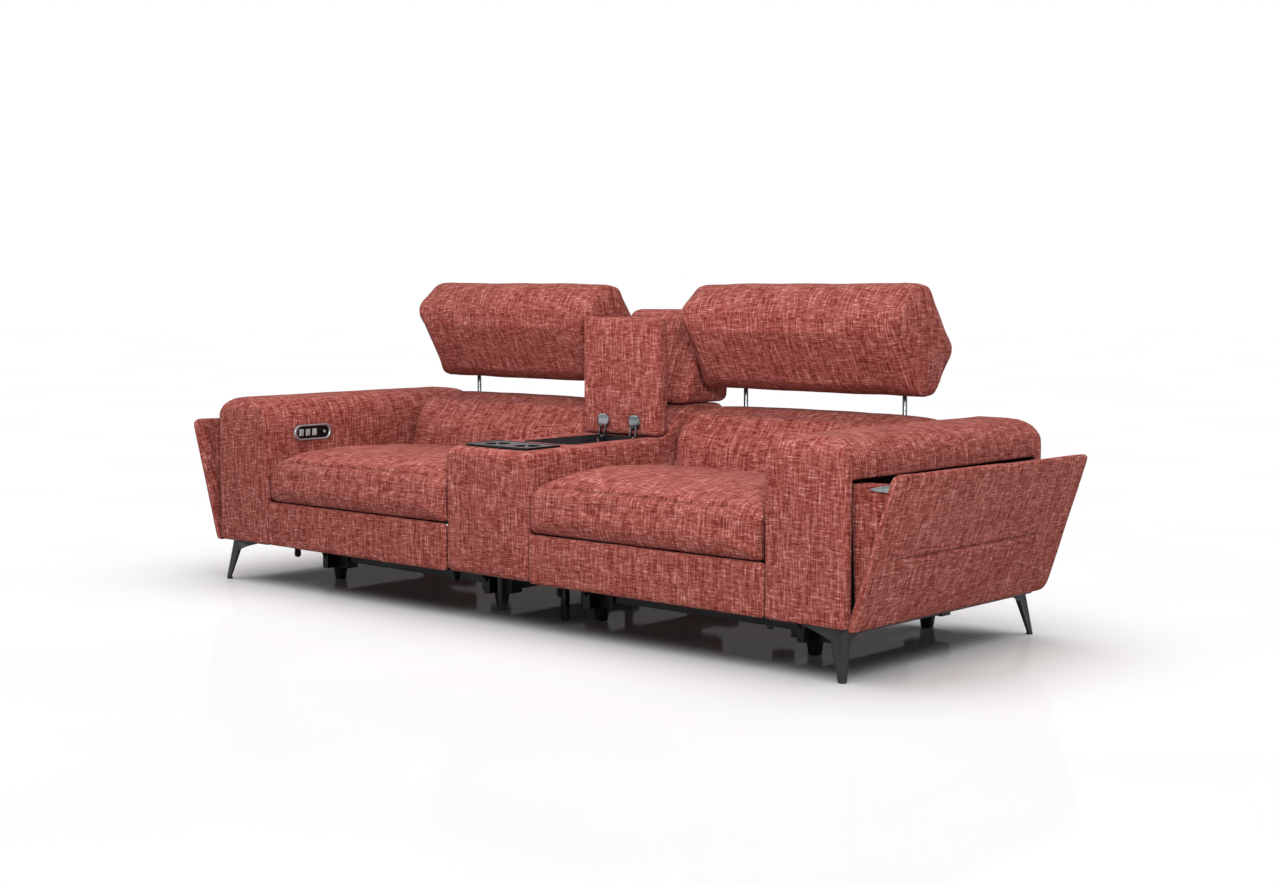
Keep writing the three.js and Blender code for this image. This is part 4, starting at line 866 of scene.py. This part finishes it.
def shrunk(outline, distance):
    # a convex outline moved inwards
    ahead = np.roll(outline, -1, axis=0) - outline
    ahead /= np.linalg.norm(ahead, axis=1, keepdims=True)
    behind = np.roll(ahead, 1, axis=0)
    inward = np.stack([-(ahead + behind)[:, 1], (ahead + behind)[:, 0]], axis=1)
    inward /= np.linalg.norm(inward, axis=1, keepdims=True)
    return outline + inward * distance


def makePanels():
    _, upright = pocketFrame()
    places = coordinates(nodes["pocket_bin_right"].data)
    local = np.array([tuple(upright.inverted() @ Vector(p)) for p in places])
    board = hull(local[local[:, 0] > pocket["inner"] + mm][:, 1:])
    rings = []
    for out, inwards in pocket["profile"]:
        rings.append([(pocket["inner"] + out * mm, a, b) for a, b in shrunk(board, inwards * mm)])
    piece = dense(newObject("pocket_panel_right", *loft(rings)), pocket)
    refine(piece)
    ripple(piece, pocket)

    def fromSeam(p):
        return np.where(p[:, 0] > pocket["seamOutside"], np.abs(p[:, 2] - pocket["seamUp"]), 1)

    def sewn(p):
        return within(p[:, 1], front + pocket["seamFrom"], front + pocket["seamTo"], pocket["seamFade"])

    groove(piece, pocket, fromSeam, sewn)
    # the lower edge stays clear of the hinge's leaf when the pocket is shut
    places = coordinates(piece.data)
    low = rise(places[:, 2], pocket["leafTop"], pocket["leafTop"] - pocket["leafFade"])
    places[:, 0] += low * np.maximum(pocket["leafRoom"] - places[:, 0], 0)
    setCoordinates(piece.data, places)
    layCloth(piece, "y")
    piece.data.transform(upright)
    piece.data.materials.append(cloth)
    upholster(piece, "pocket_right", "pocket_bin_right", pocket)


def gussetPoint(hinge, place, into, share, up):
    # share: from the arm to the panel; up: from the hinge to the mouth
    top = gusset["innerTop"] + (gusset["outerTop"] - gusset["innerTop"]) * min(share / gusset["topFrom"], 1)
    height = gusset["bottom"] + (top - hinge.z - gusset["bottom"]) * up
    inner = -gusset["innerGap"] - gusset["innerLean"] * height / (gusset["innerTop"] - pocket["hingeZ"])
    outer = height * math.tan(math.radians(pocket["lean"])) - gusset["outerGap"]
    bend = gusset["bulge"] * (1 - math.sin(math.pi * share) ** gusset["bulgeShare"])
    fold = gusset["fold"] * (1 + math.sin(gusset["folds"] * math.pi * share + gusset["foldTurn"] * height))
    return hinge.x + inner + (outer - inner) * share, place + into * (bend + fold), hinge.z + height


def makeGussets():
    hinge, _ = pocketFrame()
    armLow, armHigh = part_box("arm_right")
    wide, tall = gusset["columns"], gusset["rows"]
    for end, place, into in (("front", armLow.y + gusset["place"], 1),
                             ("rear", armHigh.y - gusset["place"], -1)):
        vertices = [gussetPoint(hinge, place, into, column / wide, row / tall)
                    for row in range(tall + 1) for column in range(wide + 1)]
        faces = []
        for row in range(tall):
            for column in range(wide):
                a = row * (wide + 1) + column
                faces.append((a, a + 1, a + wide + 2, a + wide + 1))
        piece = newObject(f"pocket_gusset_{end}_right", vertices, faces)
        thick = piece.modifiers.new("two layers", "SOLIDIFY")
        thick.thickness = gusset["thickness"]
        thick.offset = -1 if into > 0 else 1
        applied(piece)
        edit(piece.data, faceOutwards)
        layCloth(piece, "y")
        piece.data.materials.append(cloth)
        for side, sheet in bothSides(piece):
            smoothShade(sheet, gusset["sharp"])
            dress(sheet, "pocket_" + side, "upholstery")
            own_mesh(sheet)


makePanels()
makeGussets()
print("pockets made")

# The console: body with a swept-up rear, boxed lid and head block
console = {
    "body": {"voxel": 0.007, "relax": 4, "ripple": (0.0011, 0.12, 21), "fullness": 0.95, "sharp": 80},
    "lid": {"voxel": 0.0055, "relax": 4, "ripple": (0.0011, 0.12, 24), "fullness": 0.95, "sharp": 80},
    "head": {"voxel": 0.007, "relax": 6, "ripple": (0.0011, 0.12, 27), "fullness": 0.95, "sharp": 80},
    "plateDepth": 0.0135, "plateSide": 0.004, "plateTop": 0.003,
}


def pressHinges(piece):
    # the fabric is drawn in behind the hinge plates
    places = coordinates(piece.data)
    for side in signs:
        low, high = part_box("lid_hinge_cup_" + side)
        depth = low.y + console["plateDepth"]
        middle, half = (low.x + high.x) / 2, (high.x - low.x) / 2
        across = rise(np.abs(places[:, 0] - middle), half + console["plateSide"], half)
        tall = rise(places[:, 2], high.z + console["plateTop"], high.z)
        near = (places[:, 1] < depth) * across * tall
        places[:, 1] += near * (depth - places[:, 1])
    setCoordinates(piece.data, places)


def makeConsole():
    for node, name, body, made in (("console_body", "console_cover", "frame", console["body"]),
                                   ("console_lid", "console_lid_pad", "lid", console["lid"]),
                                   ("console_head_block", "console_head_pad", "frame", console["head"])):
        low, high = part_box(node)
        piece = skin(node, name, made)
        refine(piece)
        ripple(piece, made)
        fill(piece, low, high)
        if node == "console_lid":
            pressHinges(piece)
        layCloth(piece)
        piece.data.materials.append(cloth)
        if node == "console_body":
            lineUnder(piece, low.z + liningHeight)
        finish(piece, body, node, made)


makeConsole()
print("console cover, lid and head block made")


# Hard pieces: the solids' own shapes with eased edges
easing = {  # the rounding's width in mm, and its steps
    "leg": (0.9, 2), "stand": (1.5, 2), "hinge": (0.6, 2), "tray": (0.9, 3), "box": (0.8, 2),
}


def eased(node, name, part, *materials, sharp=32, bevelFrom=38):
    width, steps = easing[part]
    piece = copyNode(node, name)
    edit(piece.data, lambda work: bmesh.ops.dissolve_limit(
        work, angle_limit=math.radians(1), verts=work.verts, edges=work.edges))
    bevel = piece.modifiers.new("eased", "BEVEL")
    bevel.width = width * mm
    bevel.segments = steps
    bevel.limit_method = "ANGLE"
    bevel.angle_limit = math.radians(bevelFrom)
    bevel.harden_normals = True
    applied(piece)
    for material in materials:
        piece.data.materials.append(material)
    smoothShade(piece, sharp)
    return piece


def makeLegs():
    for side in signs:
        for end in ("front", "rear"):
            node = "leg_" + end + "_" + side
            dress(eased(node, node + "_coated", "leg", legSteel), "frame", "leg_metal", node)
    stand = eased("console_stand", "console_stand_moulded", "stand", grainBlack)
    dress(stand, "frame", "black_plastic", "console_stand")


def recoat(node, material):
    materials = nodes[node].data.materials
    materials.clear()
    materials.append(material)


def makeMechanism():
    for side in signs:
        for node in ("recliner_frame_", "footrest_lower_link_", "footrest_middle_link_",
                     "footrest_upper_link_", "footrest_carrier_", "back_bracket_", "pocket_hinge_"):
            recoat(node + side, blackSteel)
        for node in ("actuator_", "actuator_block_"):
            recoat(node + side, grainBlack)


# Headrest posts: chrome tube with a cross bar inside the headrest
def makePosts():
    radius, end, bar = post["radius"], post["endRadius"], post["barRadius"]
    for side in signs:
        node = "headrest_yoke_" + side
        low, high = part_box(node)
        y = (low.y + high.y) / 2
        first, last = low.x + radius, high.x - radius
        profile = [(end, low.z), (radius, low.z + post["lowerEase"]), (radius, high.z - post["upperEase"]),
                   (end, high.z)]
        parts = [turned(profile, (x, y, 0), (0, 0, 1), 32) for x in (first, last)]
        parts.append(turned([(bar, first), (bar, last)], (0, y, high.z - bar), (1, 0, 0), 20))
        piece = newObject("headrest_posts_" + side, *joined(parts), postChrome)
        smoothShade(piece, 40)
        dress(piece, "headrest_lift_" + side, "chrome", node)


def stadium(y, z, length, height, count=16):
    radius = height / 2
    points = []
    for end, start in ((1, -math.pi / 2), (-1, math.pi / 2)):
        centre = y + end * (length / 2 - radius)
        for step in range(count + 1):
            turn = start + math.pi * step / count
            points.append((centre + radius * math.cos(turn), z + radius * math.sin(turn)))
    return points


# The control panel in each arm: satin bezel, gloss black insert, three rockers and a round button; the port
# is not remade here
controlPanel = {
    # share of the rim's width, and how far it stands proud, in mm
    "bezel": ((0, 0), (0, 1.6), (0.04, 2.9), (0.13, 3.9), (0.3, 4.6), (0.5, 4.8), (0.7, 4.4), (0.86, 3.5),
              (0.96, 2.2), (1, 0.9), (1, -2.5)),
    "rim": (13.0, 6.6),  # mm, wider at the round ends than above and below
    "lip": 5.0,
    "back": (2.5, 14.0),  # mm, depth in the wall, and how much smaller than the face
    # inset and depth in mm, from the dished face to the back
    "rocker": ((1.6, 0.0), (0.7, 0.3), (0.15, 1.1), (0, 2.2), (0, 9.0)),
    "dish": 1.5,
    "dishTo": 2.0,
    "rockerSteps": 18,
    # share of the radius, and depth in mm
    "button": ((0.5, 0.7), (0.58, 0.2), (0.66, 0.0), (0.86, 0.2), (0.97, 0.9)),
    "buttonCentre": (0.8, 0.9),
}


def makeBezel(side, sign):
    low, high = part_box("control_bezel_" + side)
    y, z = (low.y + high.y) / 2, (low.z + high.z) / 2
    length, height = high.y - low.y, high.z - low.z
    lip = controlPanel["lip"] * mm
    wall = (low.x + lip) if sign > 0 else (high.x - lip)
    rimLong, rimTall = controlPanel["rim"]
    rings = []
    for share, proud in controlPanel["bezel"]:
        outline = stadium(y, z, length - 2 * share * rimLong * mm, height - 2 * share * rimTall * mm)
        rings.append([(wall - sign * proud * mm, a, b) for a, b in outline])
    deep, smaller = controlPanel["back"]
    outline = stadium(y, z, length - smaller * mm, height - smaller * mm)
    rings.append([(wall + sign * deep * mm, a, b) for a, b in outline])
    piece = newObject("control_bezel_cast_" + side, *loft(rings, closed=False), satinNickel)
    edit(piece.data, faceOutwards)
    smoothShade(piece, 60)
    dress(piece, "frame", "satin_trim", "control_bezel_" + side)


def makeRocker(index, side, sign):
    node = f"rocker_{index}_{side}"
    low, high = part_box(node)
    face = low.x if sign > 0 else high.x
    deep = high.x - low.x
    steps = controlPanel["rockerSteps"]
    rings = []
    for inset, sunk in controlPanel["rocker"]:
        halfY = (high.y - low.y) / 2 - inset * mm
        halfZ = (high.z - low.z) / 2 - inset * mm
        ring = []
        for k in range(4 * steps):
            edge, along = divmod(k, steps)
            share = along / steps
            a = (-1 + 2 * share, 1, 1 - 2 * share, -1)[edge]
            b = (-1, -1 + 2 * share, 1, 1 - 2 * share)[edge]
            dip = controlPanel["dish"] * (1 - b * b) if sunk < controlPanel["dishTo"] else 0
            ring.append((face + sign * min(sunk + dip, deep / mm) * mm,
                         (low.y + high.y) / 2 + a * halfY, (low.z + high.z) / 2 + b * halfZ))
        rings.append(ring)
    key = newObject(f"rocker_key_{index}_{side}", *loft(rings), silverKey)
    smoothShade(key, 50)
    dress(key, f"switch_{index}_{side}", "satin_trim", node)


def makeButton(side, sign):
    node = "control_button_" + side
    low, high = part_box(node)
    radius = (high.z - low.z) / 2
    face = low.x if sign > 0 else high.x
    middle, dent = controlPanel["buttonCentre"]
    profile = [(middle * mm, dent * mm)]
    profile += [(radius * share, depth * mm) for share, depth in controlPanel["button"]]
    profile.append((radius * 0.98, high.x - low.x))
    centre = (face, (low.y + high.y) / 2, (low.z + high.z) / 2)
    button = newObject("round_button_" + side, *turned(profile, centre, (sign, 0, 0), 28), satinNickel)
    smoothShade(button, 40)
    dress(button, "button_" + side, "satin_trim", node)


def makeControls():
    for side, sign in signs.items():
        makeBezel(side, sign)
        recoat("control_insert_" + side, glossBlack)
        for index in (1, 2, 3):
            makeRocker(index, side, sign)
        makeButton(side, sign)


def domed(name, outline, centre, back, face, profile):
    # a plate with an outline in x and z, whose front rises in rings: share of the outline, and rise in mm
    rings = [[(x, back, z) for x, z in outline]]
    for share, proud in profile:
        rings.append([(centre[0] + (x - centre[0]) * share, face - proud * mm,
                       centre[1] + (z - centre[1]) * share) for x, z in outline])
    piece = newObject(name, *loft(rings), chrome)
    edit(piece.data, faceOutwards)
    return piece


# The lid's cup hinges with their pressed covers and screws
hingeCover = {
    "height": 0.046, "corner": 0.72, "points": 64, "behind": 0.0015,
    "dome": ((1.0, 0.0), (0.98, 0.7), (0.92, 1.3), (0.8, 1.9), (0.6, 2.5), (0.35, 2.9), (0.1, 3.0)),
    "screwDown": 0.009, "screwOut": 0.0105, "screwProud": 0.0018,
    "screw": ((0.0006, -0.0004), (0.0028, -0.0008), (0.0034, -0.0003), (0.0035, 0.0008)),
}


def nodeFace(node, z):
    # the y of the front face of a hinge plate near one height
    places = coordinates(nodes[node].data)
    return places[places[:, 2] > z - 0.01][:, 1].min()


def makeHinges():
    for side, sign in signs.items():
        for part, body in (("cup", "lid"), ("arm", "frame")):
            node = f"lid_hinge_{part}_{side}"
            plated = eased(node, node + "_plated", "hinge", chrome, sharp=40, bevelFrom=42)
            dress(plated, body, "chrome", node)
        low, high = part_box("lid_hinge_cup_" + side)
        x = (low.x + high.x) / 2
        face = nodeFace("lid_hinge_cup_" + side, high.z)
        wide, tall, corner = (high.x - low.x) / 2, hingeCover["height"] / 2, hingeCover["corner"]
        outline = []
        for step in range(hingeCover["points"]):
            angle = 2 * math.pi * (step + 0.5) / hingeCover["points"]
            a, b = math.cos(angle), math.sin(angle)
            outline.append((x + math.copysign(abs(a) ** corner, a) * wide,
                            high.z - tall + math.copysign(abs(b) ** corner, b) * tall))
        cover = domed("lid_hinge_cover_" + side, outline, (x, high.z - tall), face + hingeCover["behind"],
                      face, hingeCover["dome"])
        smoothShade(cover, 50)
        dress(cover, "lid", "chrome")
        for way in (-1, 1):
            place = (x + way * hingeCover["screwOut"], face - hingeCover["screwProud"],
                     high.z - hingeCover["screwDown"])
            name = f"hinge_screw_{'inner' if way * sign < 0 else 'outer'}_{side}"
            screw = newObject(name, *turned(hingeCover["screw"], place, (0, 1, 0), 20), chrome)
            smoothShade(screw, 40)
            dress(screw, "lid", "chrome")


# The pull plate: the gusset bellies higher than the stiff cheek of the solid, and the plate sits on it
pullPlate = {
    "shift": (0.0054, 0, 0.0148), "rim": 0.0008,
    "dome": ((1.0, 0), (0.985, 0.5), (0.93, 0.95), (0.8, 1.35), (0.55, 1.7), (0.25, 1.9)),
}


def makePullPlate():
    node = "pocket_pull_plate_right"
    places = coordinates(nodes[node].data) + np.array(pullPlate["shift"])
    back = places.max(0)[1]
    lens = hull(places[:, (0, 2)])
    piece = domed("pull_plate_domed", lens, lens.mean(0), back, back - pullPlate["rim"], pullPlate["dome"])
    smoothShade(piece, 60)
    dress(piece, "pocket_right", "chrome", node)
    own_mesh(piece)


# The cup tray and the storage box
sprayDepth = 0.0025  # how far down the tray's sprayed top reaches


def makeTray():
    # the top is sprayed, and the edge and the cup holes stay black
    tray = eased("cup_tray", "cup_tray_moulded", "tray", satinTray, glossBlack)
    facing, centres = polygonData(tray.data)
    black = (facing[:, 2] < level) | (centres[:, 2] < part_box("cup_tray")[1].z - sprayDepth)
    tray.data.polygons.foreach_set("material_index", black.astype(np.int32))
    dress(tray, "frame", "black_plastic", "cup_tray")
    box = eased("storage_box", "storage_box_moulded", "box", grainBlack)
    dress(box, "frame", "black_plastic", "storage_box")


makeLegs()
makeMechanism()
makePosts()
makeControls()
makeHinges()
makePullPlate()
makeTray()
print("hard pieces made")

# Studio: a white acrylic floor under a broad overhead softbox sky, with lamps that light the sofa alone
studio = {
    "floor": ("#f7f7f7", "#fbfbfb"), "floorSize": 30, "floorDown": 0.0005, "floorRoughness": 0.06,
    "floorMirror": 0.065, "bounce": 0.72,
    "skyHigh": 2.3, "skyLow": 0.2, "backdrop": 1.0, "seenInGloss": 0.62,
    # where the sky's bands start and end, by height, and their values there
    "overhead": (0.5, 0.95, 0, 1), "horizon": (-0.05, 0.0, 0, 1), "middle": (0.1, 0.5, 1, 0),
    "lamps": (  # name, place, aim, width, height, watts
        ("key", (4.35, -3.8, 2.4), (0.4, 0.0, 0.45), 0.8, 0.8, 225),
        ("right", (5.5, 0.5, 2.2), (0.0, 0.0, 0.45), 3.0, 3.0, 12),
        ("left", (-3.5, -3.5, 3.2), (0.0, 0.0, 0.45), 3.0, 3.0, 28),
        ("fill", (0.0, -0.75, 1.15), (0.0, 2.0, 0.8), 2.2, 0.6, 9.5)),
}


def makeFloor():
    # white acrylic sheet: mostly matt, under a thin clear layer that mirrors the sofa faintly
    material, surface = newMaterial("seamless studio floor, acrylic sheet", 1.0)
    place = addNode(material, "ShaderNodeTexCoord").outputs["Object"]
    dull, clean = studio["floor"]
    tint = ramp(material, noiseOver(material, place, 0.8, 2.0), [(0.3, dull), (0.7, clean)])
    # what it throws back up at the sofa is held down, as a grey card under the set does
    ray = addNode(material, "ShaderNodeLightPath")
    grey = addNode(material, "ShaderNodeMix", {"Factor": ray.outputs["Is Diffuse Ray"], 6: tint,
                                               7: [studio["bounce"]] * 3 + [1]}, data_type="RGBA")
    matt = addNode(material, "ShaderNodeBsdfDiffuse", {"Color": grey.outputs[2]})
    clear = addNode(material, "ShaderNodeBsdfAnisotropic",
                    {"Color": (1, 1, 1, 1), "Roughness": studio["floorRoughness"]})
    layered = addNode(material, "ShaderNodeMixShader",
                      {"Fac": studio["floorMirror"], 1: matt.outputs[0], 2: clear.outputs[0]})
    material.node_tree.nodes.remove(surface)
    link(material, layered.outputs[0], material.node_tree.nodes["Material Output"].inputs["Surface"])
    size, down = studio["floorSize"], -studio["floorDown"]
    corners = [(-size, -size, down), (size, -size, down), (size, size, down), (-size, size, down)]
    floor = newObject("studio_floor", corners, [(0, 1, 2, 3)], material)
    return floor


def makeSky():
    world = bpy.data.worlds.new("white studio")
    world.use_nodes = True
    background = world.node_tree.nodes["Background"]
    background.inputs["Color"].default_value = (1, 1, 1, 1)
    aim = addNode(world, "ShaderNodeTexCoord")
    axes = addNode(world, "ShaderNodeSeparateXYZ", {"Vector": aim.outputs["Generated"]})
    bands = []
    for start, end, first, last in (studio["overhead"], studio["horizon"], studio["middle"]):
        bands.append(addNode(world, "ShaderNodeMapRange", {
            "Value": axes.outputs["Z"], "From Min": start, "From Max": end, "To Min": first, "To Max": last},
            interpolation_type="SMOOTHSTEP").outputs[0])
    lower = maths(world, "MULTIPLY", maths(world, "MULTIPLY", bands[1], bands[2]), studio["skyLow"])
    light = maths(world, "MULTIPLY_ADD", bands[0], studio["skyHigh"], lower)
    # the backdrop itself is plain white, and a little dimmer in reflections
    ray = addNode(world, "ShaderNodeLightPath").outputs
    light = mixed(world, ray["Is Glossy Ray"], light, studio["seenInGloss"])
    light = mixed(world, ray["Is Camera Ray"], light, studio["backdrop"])
    link(world, light, background.inputs["Strength"])
    bpy.context.scene.world = world


def makeLamps(floor):
    sofa = bpy.data.collections.new("lit by the lamps")
    for piece in bpy.context.scene.objects:
        if piece.type == "MESH" and piece is not floor:
            sofa.objects.link(piece)
    for name, place, target, width, height, watts in studio["lamps"]:
        lamp = bpy.data.lights.new(name + " softbox", "AREA")
        lamp.shape = "RECTANGLE"
        lamp.size = width
        lamp.size_y = height
        lamp.energy = watts
        holder = bpy.data.objects.new(name + " softbox", lamp)
        bpy.context.scene.collection.objects.link(holder)
        holder.location = place
        holder.rotation_euler = (Vector(target) - Vector(place)).to_track_quat("-Z", "Y").to_euler()
        holder.visible_camera = False
        holder.visible_glossy = name != "fill"
        holder.light_linking.receiver_collection = sofa


# The camera, solved from the edges of the sofa in the photograph
view = {"place": (4.0691, -4.3248, 1.0063), "lens": 53.864, "sensor": 36, "down": 4.761, "turn": 41.9}


def makeCamera():
    lens = bpy.data.cameras.new("camera")
    lens.sensor_width = view["sensor"]
    lens.lens = view["lens"]
    camera = bpy.data.objects.new("camera", lens)
    bpy.context.scene.collection.objects.link(camera)
    camera.location = view["place"]
    camera.rotation_euler = (math.radians(90 - view["down"]), 0, math.radians(view["turn"]))
    bpy.context.scene.camera = camera


studioFloor = makeFloor()
makeSky()
makeLamps(studioFloor)
bpy.context.scene.view_settings.view_transform = "Standard"
makeCamera()
print("studio and camera ready")
